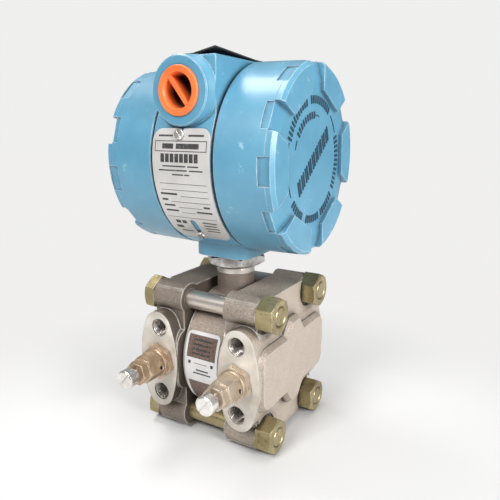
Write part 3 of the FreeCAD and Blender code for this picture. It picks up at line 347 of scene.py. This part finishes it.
def cast_steel(name, light, dark):
    """Blasted cast steel with machined pads, a dark grain, worn edges that carry a painted highlight, and
    painted shade in its corners and on faces that look at the module.
    """
    material, tree = new_material(name)
    edges, skin = surface(tree, 1.3 * MM, 130.0, 0.6, 1500.0, 0.10 * MM, 0.35)
    place = place_in(tree)
    parts = parts_of(tree, place)
    colour = blended(tree, ramp(tree, skin["Clouds"], 0.35, 0.68), dark, light)
    colour = blended(tree, ramp(tree, skin["Tone"], 0.36, 0.62, 0.55, 0.0), colour, CAST_DIRT_AND_SHADE)
    # Faces that look away from the module are wiped paler, and those that look at it get painted shade for
    # the dark gap beside the module.
    facing = parts_of(tree, add(tree, "ShaderNodeNewGeometry").outputs["Normal"])
    outward = combined(tree, "MULTIPLY", facing["X"], parts["X"])
    colour = blended(tree, ramp(tree, outward, 28 * MM, 37 * MM, 0.0, 0.5), colour, CAST_GROUND)
    colour = blended(tree, ramp(tree, outward, -3 * MM, -11 * MM, 0.0, 0.85), colour, CAST_DIRT_AND_SHADE)
    # Painted shade in corners and gaps.
    colour = blended(tree, painted_crease_shade(tree, 7 * MM, 0.90, 0.50, 0.95), colour, CAST_DIRT_AND_SHADE)
    # Pale edges: wear with a painted highlight.
    colour = rubbed_and_lit(tree, edges, 0.75, colour, PAD_BRIGHT)
    pad = blended(tree, ramp(tree, noise(tree, place, 60.0, 6.0), 0.35, 0.7), PAD_DULL, PAD_BRIGHT)
    from_middle = combined(tree, "ABSOLUTE", combined(tree, "SUBTRACT", parts["Y"], FLANGE_MID_Y))
    machined = ramp(tree, from_middle, FLANGE_HALF_Y - 0.25 * MM, FLANGE_HALF_Y - 0.1 * MM)
    colour = blended(tree, machined, colour, pad)
    finish(tree, colour, ramp(tree, machined, 0.0, 1.0, 0.56, 0.42), skin["Normal"],
           Metallic=0.25, Specular_IOR_Level=0.45)
    return material


dress(cast_steel("cast_steel_light", CAST_LIGHT, CAST_LIGHT_SHADE), "flange_high")
dress(cast_steel("cast_steel_brown", CAST_DARK, CAST_DARK_SHADE), "flange_low")


# Flange bolts and nuts ---------------------------------------------------------------------------------
# Four long 7/16 in bolts clamp the flanges on the module. The nuts and heads are yellow passivated zinc,
# faded to olive, and so are the lower shanks, while the upper shanks are bare bright steel.
ZINC_YELLOW = (0.44, 0.37, 0.20, 1)
ZINC_OLIVE = (0.175, 0.135, 0.062, 1)
ZINC_STAIN_AND_SHADE = (0.075, 0.055, 0.028, 1)
ZINC_WORN_AND_HIGHLIGHT = (0.75, 0.71, 0.55, 1)
ZINC_METALLIC = 0.7
SHANK_BRIGHT = (0.66, 0.61, 0.55, 1)
SHANK_METALLIC = 0.9
SHANK_HALF_X = 15 * MM


def zinc_plate(name, split_shanks):
    """Passivated zinc in yellow and olive clouds; with split_shanks, what lies inboard and high is bare."""
    material, tree = new_material(name)
    edges, skin = surface(tree, 0.5 * MM, 320.0, 0.5, 1100.0, 0.03 * MM, 0.25)
    place = place_in(tree)
    clouds = noise(tree, place, 46.0, 5.0, distortion=0.4)
    colour = blended(tree, ramp(tree, clouds, 0.22, 0.66), ZINC_OLIVE, ZINC_YELLOW)
    stain = noise(tree, place, 620.0, 4.0)
    colour = blended(tree, ramp(tree, stain, 0.56, 0.70, 0.0, 0.5), colour, ZINC_STAIN_AND_SHADE)
    # Painted shade in corners and where the nuts meet the flanges.
    colour = blended(tree, painted_crease_shade(tree, 5 * MM, 0.75, 0.25, 0.85), colour, ZINC_STAIN_AND_SHADE)
    # Pale edges: wear with a painted highlight.
    colour = rubbed_and_lit(tree, edges, 0.6, colour, ZINC_WORN_AND_HIGHLIGHT)
    if split_shanks:
        parts = parts_of(tree, place)
        inboard = ramp(tree, combined(tree, "ABSOLUTE", parts["X"]), SHANK_HALF_X, SHANK_HALF_X - 0.2 * MM)
        bare = combined(tree, "MULTIPLY", inboard, ramp(tree, parts["Z"], -1 * MM, 1 * MM))
        colour = blended(tree, bare, colour, SHANK_BRIGHT)
    shader = finish(tree, colour, ramp(tree, clouds, 0.3, 0.7, 0.42, 0.3), skin["Normal"],
                    Metallic=ZINC_METALLIC)
    if split_shanks:
        tree.links.new(ramp(tree, bare, 0.0, 1.0, ZINC_METALLIC, SHANK_METALLIC), shader.inputs["Metallic"])
    return material


dress(zinc_plate("zinc_bolts", True), "flange_bolts")
dress(zinc_plate("zinc_nuts", False), "flange_nuts")


# Sensor module -----------------------------------------------------------------------------------------
# The welded steel drum that holds the sensing cell, with the neck that carries the housing. The drum and
# neck are blasted to a speckled grey, the neck darker; the weld rings and the neck's collar are polished.
MODULE_GREY = (0.50, 0.405, 0.345, 1)
MODULE_DARK = (0.24, 0.19, 0.155, 1)
MODULE_CLOUD = (0.34, 0.285, 0.245, 1)
MODULE_CREASE_SHADE = (0.045, 0.035, 0.028, 1)
MODULE_NECK = (0.125, 0.10, 0.083, 1)
POLISHED = (0.62, 0.575, 0.53, 1)
WELD_FROM_X = 12.1 * MM
DRUM_TOP_Z = 40.0 * MM
COLLAR_LOW_Z = 50.2 * MM

module_steel, tree = new_material("blasted_module_steel")
edges, skin = surface(tree, 0.4 * MM, 300.0, 0.4, 1700.0, 0.05 * MM, 0.3)
parts = parts_of(tree, place_in(tree))
sideways = combined(tree, "ABSOLUTE", parts["X"])
weld = combined(tree, "MULTIPLY", ramp(tree, sideways, WELD_FROM_X - 0.05 * MM, WELD_FROM_X + 0.05 * MM),
                ramp(tree, parts["Z"], DRUM_TOP_Z + 0.5 * MM, DRUM_TOP_Z))
collar = ramp(tree, parts["Z"], COLLAR_LOW_Z - 0.1 * MM, COLLAR_LOW_Z + 0.1 * MM)
bright = combined(tree, "MAXIMUM", weld, collar)
colour = blended(tree, ramp(tree, skin["Tone"], 0.40, 0.62), MODULE_DARK, MODULE_GREY)
colour = blended(tree, ramp(tree, skin["Clouds"], 0.4, 0.7, 0.0, 0.5), colour, MODULE_CLOUD)
# Painted shade in corners and in the gaps round the drum.
colour = blended(tree, painted_crease_shade(tree, 8 * MM, 0.8, 0.3, 0.85), colour, MODULE_CREASE_SHADE)
colour = blended(tree, ramp(tree, parts["Z"], DRUM_TOP_Z - 2 * MM, DRUM_TOP_Z + 2 * MM, 0.0, 0.6), colour,
                 MODULE_NECK)
colour = blended(tree, bright, colour, POLISHED)
finish(tree, colour, ramp(tree, bright, 0.0, 1.0, 0.52, 0.22), skin["Normal"], Metallic=0.4)
dress(module_steel, "sensor_module")


def plain_finish(name, light, dark, clouds, rough, metallic, radius=0.3 * MM, grain=1200.0, depth=0.02 * MM):
    """A finish of two close colours in clouds, with worn edges that carry a painted highlight, and a fine
    grain.
    """
    material, tree = new_material(name)
    edges, skin = surface(tree, radius, 400.0, 0.4, grain, depth, 0.2)
    cloud = noise(tree, place_in(tree), clouds, 4.0)
    colour = blended(tree, ramp(tree, cloud, 0.38, 0.62), dark, light)
    paler = tuple(min(1.0, channel * 1.25 + 0.02) for channel in light[:3]) + (1,)
    colour = rubbed_and_lit(tree, edges, 0.5, colour, paler)
    finish(tree, colour, ramp(tree, cloud, 0.35, 0.65, *rough), skin["Normal"], Metallic=metallic)
    return material


dress(plain_finish("diaphragm_foil", (0.74, 0.74, 0.74, 1), (0.66, 0.66, 0.66, 1), 90.0, (0.2, 0.28), 0.95),
      "diaphragm_high", "diaphragm_low")
dress(plain_finish("white_seal", (0.84, 0.83, 0.79, 1), (0.77, 0.76, 0.71, 1), 120.0, (0.45, 0.55), 0.0),
      "process_seal_high", "process_seal_low")


# Labels ------------------------------------------------------------------------------------------------
# The nameplate is a satin sheet bent round the front of the housing, and the module carries a smaller foil
# label. Their print is plain: boxes, rules and bars of dark ink that lie a little proud of the sheet.
INK = (0.035, 0.034, 0.034, 1)
INK_WORN = (0.30, 0.29, 0.28, 1)
INK_LIFT = 0.03 * MM
INK_THICK = INK_LIFT * 0.8
INK_STARTS_BEFORE = 4 * MM
INK_ROW = 2.0
SHEET = (0.61, 0.595, 0.58, 1)
SHEET_SHADE = (0.545, 0.53, 0.515, 1)
FOIL = (0.74, 0.735, 0.73, 1)
FOIL_SHADE = (0.64, 0.63, 0.615, 1)
FIELD_BROWN = (0.25, 0.17, 0.135, 1)
FIELD_DARK = (0.085, 0.05, 0.04, 1)
FIELD_HALF_X = 9.8 * MM
FIELDS_Z = ((5.4 * MM, 17.9 * MM), (-24.6 * MM, -10.0 * MM))
FIELD_SOFT = 0.15 * MM

dress(plain_finish("satin_nameplate", SHEET, SHEET_SHADE, 55.0, (0.36, 0.48), 0.35, grain=2200.0,
                   depth=0.01 * MM), "nameplate")

label_foil, tree = new_material("module_label_foil")
skin = grained(tree, 1900.0, 0.02 * MM, 0.2)
parts = parts_of(tree, place_in(tree))
sideways = combined(tree, "ABSOLUTE", parts["X"])
windows = []
for low_z, high_z in FIELDS_Z:
    across = ramp(tree, sideways, FIELD_HALF_X + FIELD_SOFT, FIELD_HALF_X)
    upright = combined(tree, "MULTIPLY", ramp(tree, parts["Z"], low_z - FIELD_SOFT, low_z),
                       ramp(tree, parts["Z"], high_z + FIELD_SOFT, high_z))
    windows.append(combined(tree, "MULTIPLY", across, upright))
brown = blended(tree, ramp(tree, skin["Tone"], 0.42, 0.6), FIELD_DARK, FIELD_BROWN)
colour = blended(tree, ramp(tree, skin["Clouds"], 0.4, 0.65), FOIL_SHADE, FOIL)
colour = blended(tree, combined(tree, "MAXIMUM", *windows), colour, brown)
finish(tree, colour, ramp(tree, skin["Clouds"], 0.3, 0.7, 0.42, 0.55), skin["Normal"], Metallic=0.15)
dress(label_foil, "module_label")

ink, tree = new_material("dark_ink")
wear = noise(tree, place_in(tree), 900.0, 3.0)
colour = blended(tree, ramp(tree, wear, 0.56, 0.72, 0.0, 0.5), INK, INK_WORN)
bump = add(tree, "ShaderNodeBump", {"Strength": 0.1, "Distance": 0.01 * MM, "Height": wear})
finish(tree, colour, ramp(tree, wear, 0.3, 0.7, 0.5, 0.65), bump.outputs["Normal"])


def start_piece(name, operator, **settings):
    """Adds a primitive as a new object, with nothing else selected, and names it."""
    bpy.ops.object.select_all(action="DESELECT")
    operator(**settings)
    piece = bpy.context.object
    piece.name = name
    piece.data.name = name
    return piece


def settle(piece):
    """Puts the piece's place into its mesh, so that its object sits at the origin."""
    bpy.ops.object.select_all(action="DESELECT")
    piece.select_set(True)
    bpy.context.view_layer.objects.active = piece
    bpy.ops.object.transform_apply(location=True, rotation=True, scale=True)


def apply_modifier(piece, name, kind, **settings):
    """One modifier, set and applied."""
    modifier = piece.modifiers.new(name, kind)
    for key, value in settings.items():
        setattr(modifier, key, value)
    bpy.context.view_layer.objects.active = piece
    bpy.ops.object.modifier_apply(modifier=modifier.name)


def gathered(name, operator, shapes):
    """One piece of many primitives: each is its operator's settings, its size and its turn about X."""
    piece = None
    for settings, size, turn in shapes:
        if piece is None:
            piece = start_piece(name, operator, **settings)
            bpy.ops.object.mode_set(mode="EDIT")
        else:
            bpy.ops.mesh.select_all(action="DESELECT")
            operator(**settings)
        bpy.ops.transform.resize(value=size, center_override=settings["location"])
        if turn:
            bpy.ops.transform.rotate(value=turn, orient_axis="X", center_override=settings["location"])
    bpy.ops.object.mode_set(mode="OBJECT")
    settle(piece)
    return piece


def hand_over(piece, material, body):
    """The piece's material and the body that it rides on."""
    paint(piece, material)
    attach(piece, body)


def printed(name, node, axis_z, radius, bars, body):
    """Ink bars on a sheet bent about a line along X. A bar is its left and right ends, the degrees that it
    lies below the front, and its height; lengths are in millimetres."""
    front_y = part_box(node)[0].y - INK_STARTS_BEFORE
    shapes = []
    for left, right, degrees, tall in bars:
        angle = math.radians(degrees)
        middle = ((left + right) / 2 * MM, front_y, axis_z - radius * MM * math.sin(angle))
        settings = dict(x_subdivisions=1, y_subdivisions=max(1, round(tall / INK_ROW)), size=1.0,
                        location=middle, rotation=(math.radians(90), 0, 0))
        shapes.append((settings, ((right - left) * MM, 1, tall * MM * math.cos(angle)), 0))
    piece = gathered(name, bpy.ops.mesh.primitive_grid_add, shapes)
    apply_modifier(piece, "onto_sheet", "SHRINKWRAP", target=nodes[node], wrap_method="PROJECT",
                   use_project_y=True, use_positive_direction=True, use_negative_direction=False,
                   use_project_z=False, offset=INK_LIFT)
    apply_modifier(piece, "ink_film", "SOLIDIFY", thickness=INK_THICK, offset=-1.0)
    hand_over(piece, ink, body)


def outline(half, top, bottom, line, radius):
    """Four ink bars that make a box."""
    middle = (top + bottom) / 2
    tall = math.radians(bottom - top) * radius + line
    return [(-half, half, top, line), (-half, half, bottom, line),
            (-half, -half + line, middle, tall), (half - line, half, middle, tall)]


PLATE_R = 52.7
NAME_BLOCKS = 8
BLOCK_FROM = -12.6
BLOCK_STEP = 3.05
BLOCK_WIDE = 2.45
RULE_FROM = 12.2        # degrees below the front
RULE_STEP = 3.75
RULES = (  # the rule's ends, then the ends of the legends beside it
    ((-14.5, 15.5), ()),
    ((-14.5, 15.5), ()),
    ((-2.5, 15.5), ((-15.5, -4.5),)),
    ((-9.5, 15.5), ((-15.5, -11.5),)),
    ((-6.0, 9.0), ((-15.3, -8.0), (10.5, 14.5))),
    ((-5.0, 4.0), ((-15.3, -7.0), (5.0, 14.8))),
    ((-16.2, 16.2), ()))
drum_z = (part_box("cover_right")[0].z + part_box("cover_right")[1].z) / 2
bars = outline(16.4, -11.6, -6.0, 0.42, PLATE_R)
bars += [(-14.5, -5.2, -14.6, 1.0), (4.6, 14.2, -14.6, 1.0),
         (-11.6, -4.4, -8.8, 2.7), (-2.8, 11.6, -8.8, 2.7)]
for block in range(NAME_BLOCKS):
    left = BLOCK_FROM + BLOCK_STEP * block
    bars.append((left, left + BLOCK_WIDE, -2.3, 4.4))
for half, degrees in ((11.5, 2.2), (14.0, 4.5), (5.6, 6.9)):
    bars += [(-half, half * 0.3, degrees, 0.7), (half * 0.4, half, degrees, 0.7)]
for row, (rule, legends) in enumerate(RULES):
    degrees = RULE_FROM + RULE_STEP * row
    bars.append((*rule, degrees, 0.28))
    bars += [(*legend, degrees - 1.2, 1.15) for legend in legends]
for row in range(4):
    bars.append((5.4, 14.6 - 0.7 * (row % 2), 37.9 + 2.5 * row, 0.9))
bars += [(-12.6, -9.4, 38.6, 2.4), (-8.4, -5.4, 38.6, 2.4),
         (-14.2, -9.6, 43.2, 2.2), (-12.6, -5.0, 47.4, 1.1)]
printed("nameplate_print", "nameplate", drum_z, PLATE_R, bars, "head")

LABEL_R = 39.2
bars = outline(9.9, -27.4, -7.8, 0.25, LABEL_R)
bars += [(-8.8, -7.0, -3.2, 1.9), (-4.6, 4.6, -3.0, 0.35), (7.0, 8.8, -3.2, 1.9), (-3.4, 5.4, 3.0, 0.9),
         (-5.6, 6.8, 6.2, 0.9)]
bars += [(-6.5, 6.0, -23.5 + 4.0 * row, 1.1) for row in range(4)]
printed("module_label_print", "module_label", 0.0, LABEL_R, bars, "base")


# Cover markings ----------------------------------------------------------------------------------------
# Each cover's flat end has a cast ring of short raised strokes, an inner arc and a slanted band across the
# middle. They are plain strokes in the same casting, coloured dark navy as painted shade.
DISC_BELOW_LUGS = 2.7 * MM
STROKE_RISE = 0.40 * MM
STROKE_SHADE_DARK = (0.005, 0.018, 0.035, 1)
STROKE_SHADE_BLUE = (0.018, 0.06, 0.105, 1)
RING_R = 32.0
INNER_R = 24.0
STROKE_ARCS = (  # radius, first and last degrees, degrees from stroke to stroke, length along the radius
    (RING_R, -139, -112, 4.6, 4.2), (RING_R, -104, -76, 4.6, 4.2), (RING_R, -68, -40, 4.6, 4.2),
    (RING_R, -31, 22, 4.8, 4.2), (RING_R, 56, 100, 4.8, 4.2), (RING_R, 110, 158, 4.8, 4.2),
    (INNER_R, 92, 150, 6.6, 3.6))
LINE_ARCS = ((RING_R, 29, 48), (RING_R, 163, 213), (INNER_R, 78, 88), (INNER_R, 154, 164))
STROKE_WIDE = 1.4
LINE_STEP = 3.0         # a line is a row of short pieces that overlap a little
LINE_OVERLAP = 0.1
LINE_WIDE = 0.5
BAND_SLANT = 38.5       # the band's own degrees, and what its strokes lean from it
BAND_LEAN = 72
BAND_PAIRS = 9
BAND_FROM = -21.6
BAND_STEP = 5.4
BAND_HALF_GAP = 1.2
BAND_LONG = 8.2
BAND_WIDE = 1.35
STROKE_BEVEL = 0.12 * MM

stroke_shade, tree = new_material("painted_shade_strokes")
edges, skin = surface(tree, 0.2 * MM, 500.0, 0.4, 900.0, 0.05 * MM, 0.2)
# The strokes are coloured dark navy as painted shade.
colour = blended(tree, ramp(tree, skin["Tone"], 0.35, 0.65), STROKE_SHADE_DARK, STROKE_SHADE_BLUE)
colour = rubbed_and_lit(tree, edges, 0.5, colour, BLUE)
finish(tree, colour, ramp(tree, skin["Tone"], 0.3, 0.7, 0.4, 0.55), skin["Normal"])


def strokes(name, cover, outward, turn, body):
    """The raised strokes on one cover; outward is 1 on the right and -1 on the left."""
    low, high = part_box(cover)
    face = (high.x if outward > 0 else low.x) - outward * DISC_BELOW_LUGS
    hub = Vector((face, (low.y + high.y) / 2, (low.z + high.z) / 2))
    marks = []  # radius and degrees of the middle, degrees of the stroke, its length and width
    for radius, start, stop, pitch, long in STROKE_ARCS:
        for step in range(int((stop - start) / pitch) + 1):
            degrees = start + pitch * step + turn
            marks.append((radius, degrees, degrees, long, STROKE_WIDE))
    for radius, start, stop in LINE_ARCS:
        span = radius * math.radians(LINE_STEP + LINE_OVERLAP)
        for step in range(int((stop - start) / LINE_STEP) + 1):
            degrees = start + LINE_STEP * step + turn
            marks.append((radius, degrees, degrees, LINE_WIDE, span))
    slant = BAND_SLANT + turn
    for step in range(BAND_PAIRS):
        for side in (-1, 1):
            along = BAND_FROM + BAND_STEP * step + BAND_HALF_GAP * side
            marks.append((along, slant, slant + BAND_LEAN, BAND_LONG, BAND_WIDE))
    shapes = []
    for radius, degrees, lean, long, wide in marks:
        angle = math.radians(degrees)
        where = hub + Vector((0, outward * radius * MM * math.cos(angle), radius * MM * math.sin(angle)))
        shapes.append((dict(size=1.0, location=where), (2 * STROKE_RISE, long * MM, wide * MM),
                       -outward * math.radians(lean)))
    piece = gathered(name, bpy.ops.mesh.primitive_cube_add, shapes)
    apply_modifier(piece, "cast_edges", "BEVEL", width=STROKE_BEVEL, segments=1)
    hand_over(piece, stroke_shade, body)


strokes("cover_strokes_right", "cover_right", 1, 0.0, "cover_turn_right")
strokes("cover_strokes_left", "cover_left", -1, 12.0, "cover_turn_left")


# Threads -----------------------------------------------------------------------------------------------
# The ridges of the cut threads in the open holes: the 7/16 in tapped holes round each port, the two rear
# ports and the rear conduit entry. Each is one helical ridge that stands out of the drilled wall.
TAPPED_RIDGE = (5.5 * MM, 1.27 * MM, 12, 0.75 * MM)     # the wall's radius, pitch, turns and the ridge's rise
PORT_RIDGE = (6.6 * MM, 1.41 * MM, 7, 0.7 * MM)
CONDUIT_RIDGE = (10.4 * MM, 1.81 * MM, 6, 0.8 * MM)
RIDGE_BELOW_FACE = 0.9 * MM
CONDUIT_BELOW_FACE = 1.1 * MM
HELIX_STEPS = 28


def thread(name, radius, pitch, turns, rise):
    """A helical ridge about the Y axis, its mouth at Y = 0 and its far end at positive Y."""
    start_x = radius - rise + pitch * 0.5
    piece = start_piece(name, bpy.ops.mesh.primitive_circle_add, vertices=3, radius=pitch * 0.5,
                        fill_type="NOTHING", location=(start_x, 0, 0), rotation=(math.radians(90), 0, 0))
    bpy.ops.object.mode_set(mode="EDIT")
    bpy.ops.mesh.select_all(action="SELECT")
    bpy.ops.transform.rotate(value=math.radians(90), orient_axis="Y", center_override=(start_x, 0, 0))
    bpy.ops.object.mode_set(mode="OBJECT")
    settle(piece)
    apply_modifier(piece, "helix", "SCREW", axis="Z", steps=HELIX_STEPS, render_steps=HELIX_STEPS,
                   iterations=turns, screw_offset=pitch, use_merge_vertices=True,
                   merge_threshold=0.001 * MM)
    bpy.ops.object.mode_set(mode="EDIT")
    bpy.ops.mesh.select_all(action="SELECT")
    bpy.ops.mesh.fill_holes(sides=4)
    bpy.ops.mesh.normals_make_consistent(inside=False)
    bpy.ops.object.mode_set(mode="OBJECT")
    piece.rotation_euler = (math.radians(-90), 0, 0)
    settle(piece)
    return piece


def set_thread(pattern, name, place, inward, material, body):
    """A copy of a ridge, with its own mesh, in one hole; inward is the way into the hole along Y."""
    piece = pattern.copy()
    piece.data = pattern.data.copy()
    bpy.context.scene.collection.objects.link(piece)
    piece.name = name
    piece.location = place
    piece.rotation_euler = (0, 0, 0 if inward > 0 else math.radians(180))
    settle(piece)
    hand_over(piece, material, body)


cut_steel = plain_finish("cut_thread_steel", (0.92, 0.88, 0.83, 1), (0.72, 0.67, 0.61, 1), 400.0,
                         (0.25, 0.35), 0.9, radius=0.1 * MM)
mounts = {mount["name"]: mount for mount in frame["record"]["mounts"]}
spacing = mounts["rear_manifold_holes"]["dims"]
half_x = spacing["spacing_x_mm"] / 2 * MM
half_z = spacing["spacing_y_mm"] / 2 * MM
pattern = thread("tapped_ridge", *TAPPED_RIDGE)
for mount, word in (("rear_manifold_holes", "rear"), ("front_bracket_holes", "front")):
    inward = -mounts[mount]["axis"][1]
    ridge_y = mounts[mount]["pos_m"][1] + inward * RIDGE_BELOW_FACE
    for side, x in (("low", -half_x), ("high", half_x)):
        for level, z in (("lower", -half_z), ("upper", half_z)):
            set_thread(pattern, "_".join(("tapped_ridge", word, side, level)), (x, ridge_y, z), inward,
                       cut_steel, "base")
bpy.data.objects.remove(pattern)
pattern = thread("port_ridge", *PORT_RIDGE)
for side, x in (("high", half_x), ("low", -half_x)):
    set_thread(pattern, "port_ridge_" + side, (x, -RIDGE_BELOW_FACE, 0), -1, cut_steel, "base")
bpy.data.objects.remove(pattern)
pattern = thread("conduit_ridge", *CONDUIT_RIDGE)
entry = mounts["rear_conduit_entry"]["pos_m"]
entry_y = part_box("housing")[1].y - CONDUIT_BELOW_FACE
set_thread(pattern, "conduit_ridge_rear", (entry[0], entry_y, entry[2]), -1, blue_paint, "head")
bpy.data.objects.remove(pattern)


# Vent valves -------------------------------------------------------------------------------------------
# Each front port holds a stainless vent valve: a seat, a long hexagon and a silver bleed screw with a ball
# at its tip. The low side valve has stained to bronze, and the high side one is a warm tan.
STAIN_SPOT = (0.08, 0.05, 0.03, 1)
STEEL_CREASE_SHADE = (0.09, 0.06, 0.04, 1)
STEEL_WORN_AND_HIGHLIGHT = (0.80, 0.74, 0.66, 1)


def stained_steel(name, light, dark):
    """Handled stainless steel with brown stains, painted shade in its corners, and pale edges of wear and
    painted highlight.
    """
    material, tree = new_material(name)
    edges, skin = surface(tree, 0.35 * MM, 350.0, 0.55, 1300.0, 0.02 * MM, 0.2)
    place = place_in(tree)
    stain = noise(tree, place, 130.0, 6.0, 0.65)
    colour = blended(tree, ramp(tree, stain, 0.40, 0.62), dark, light)
    spots = noise(tree, place, 480.0, 3.0)
    colour = blended(tree, ramp(tree, spots, 0.62, 0.70, 0.0, 0.7), colour, STAIN_SPOT)
    # Painted shade in corners and gaps.
    colour = blended(tree, painted_crease_shade(tree, 4 * MM, 0.6, 0.15, 0.75), colour, STEEL_CREASE_SHADE)
    colour = rubbed_and_lit(tree, edges, 0.6, colour, STEEL_WORN_AND_HIGHLIGHT)
    finish(tree, colour, ramp(tree, stain, 0.35, 0.65, 0.44, 0.34), skin["Normal"], Metallic=0.72)
    return material


dress(stained_steel("vent_steel_tan", (0.60, 0.505, 0.40, 1), (0.46, 0.36, 0.26, 1)),
      "vent_seat_high", "vent_body_high")
dress(stained_steel("vent_steel_bronze", (0.56, 0.42, 0.295, 1), (0.36, 0.25, 0.155, 1)),
      "vent_seat_low", "vent_body_low")
bright_steel = plain_finish("bright_turned_steel", (0.82, 0.79, 0.76, 1), (0.68, 0.64, 0.60, 1), 160.0,
                            (0.22, 0.32), 0.85, radius=0.35 * MM)
dress(bright_steel, "bleed_screw_high", "bleed_screw_low", "valve_ball_high", "valve_ball_low")


# Lock nut, small screws, plates and plug ---------------------------------------------------------------
# The lock nut and the slotted screws are steel, the nut with grey stains. The top plate and its pins are
# black, the ring seals are black rubber and the conduit plug is moulded in orange plastic.
ORANGE = (0.88, 0.155, 0.035, 1)
ORANGE_PALE = (0.95, 0.21, 0.055, 1)
ORANGE_WORN_AND_HIGHLIGHT = (0.95, 0.42, 0.22, 1)
CUP_SHADE = (0.02, 0.005, 0.003, 1)
PLUG_CUP_R = 8.4 * MM
PLUG_LIT = 3.5 * MM
PLUG_DARK = 8.0 * MM

dress(stained_steel("lock_nut_steel", (0.60, 0.59, 0.575, 1), (0.27, 0.25, 0.235, 1)), "lock_nut")
dress(bright_steel, "nameplate_screws", "zero_screw", "span_screw", "board_screws", "terminal_screws",
      "ground_screw")
dress(plain_finish("black_enamel", (0.028, 0.028, 0.03, 1), (0.014, 0.014, 0.016, 1), 80.0,
                   (0.35, 0.5), 0.0), "top_plate", "top_plate_pins")
dress(plain_finish("seal_rubber", (0.022, 0.022, 0.024, 1), (0.012, 0.012, 0.013, 1), 200.0,
                   (0.5, 0.65), 0.0), "cover_seal_right", "cover_seal_left")

orange, tree = new_material("orange_moulding")
edges, skin = surface(tree, 0.5 * MM, 300.0, 0.5, 1000.0, 0.02 * MM, 0.15)
colour = blended(tree, ramp(tree, skin["Clouds"], 0.35, 0.65), ORANGE, ORANGE_PALE)
colour = rubbed_and_lit(tree, edges, 0.45, colour, ORANGE_WORN_AND_HIGHLIGHT)
# The cup's inside gets painted shade that deepens with depth: behind the plug's front, and within its inner
# radius.
place = place_in(tree)
plug_low, plug_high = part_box("conduit_plug")
sunk = ramp(tree, parts_of(tree, place)["Y"], plug_low.y + PLUG_LIT, plug_low.y + PLUG_DARK, 0.0, 0.96)
flattened = add(tree, "ShaderNodeVectorMath", {0: place, 1: (1, 0, 1)}, operation="MULTIPLY")
plug_axis = ((plug_low.x + plug_high.x) / 2, 0, (plug_low.z + plug_high.z) / 2)
off_axis = distance(tree, flattened.outputs["Vector"], plug_axis)
within = ramp(tree, off_axis, PLUG_CUP_R + 0.5 * MM, PLUG_CUP_R + 0.2 * MM)
colour = blended(tree, combined(tree, "MULTIPLY", sunk, within), colour, CUP_SHADE)
finish(tree, colour, ramp(tree, skin["Clouds"], 0.3, 0.7, 0.34, 0.44), skin["Normal"])
dress(orange, "conduit_plug")


# Inside the compartments -------------------------------------------------------------------------------
# Two round circuit boards on brass stand-offs, a black moulded terminal block with steel screws, a moulded
# feedthrough in the wall and a ground screw. They show when a cover is off.
BOARD_GREEN = (0.05, 0.24, 0.11, 1)
BOARD_DEEP = (0.04, 0.20, 0.09, 1)
BOARD_TRACK = (0.10, 0.34, 0.16, 1)
CHIP_BLACK = (0.03, 0.03, 0.03, 1)

board, tree = new_material("coated_circuit_board")
place = place_in(tree)
tracks = add(tree, "ShaderNodeTexBrick", {"Vector": place, "Scale": 260.0, "Color1": BOARD_GREEN,
                                          "Color2": BOARD_DEEP, "Mortar": BOARD_TRACK, "Mortar Size": 0.06})
skin = grained(tree, 700.0, 0.02 * MM, 0.2)
chips = ramp(tree, noise(tree, place, 90.0), 0.60, 0.62, 0.0, 0.8)
colour = blended(tree, chips, tracks.outputs["Color"], CHIP_BLACK)
finish(tree, colour, ramp(tree, skin["Clouds"], 0.3, 0.7, 0.3, 0.45), skin["Normal"])
dress(board, "inner_board", "outer_board")
dress(plain_finish("turned_brass", (0.70, 0.54, 0.25, 1), (0.58, 0.43, 0.18, 1), 200.0, (0.25, 0.35), 0.95),
      "board_standoffs")
dress(plain_finish("black_moulding", (0.045, 0.045, 0.047, 1), (0.025, 0.025, 0.027, 1), 150.0,
                   (0.4, 0.5), 0.0), "terminal_block", "feedthrough")
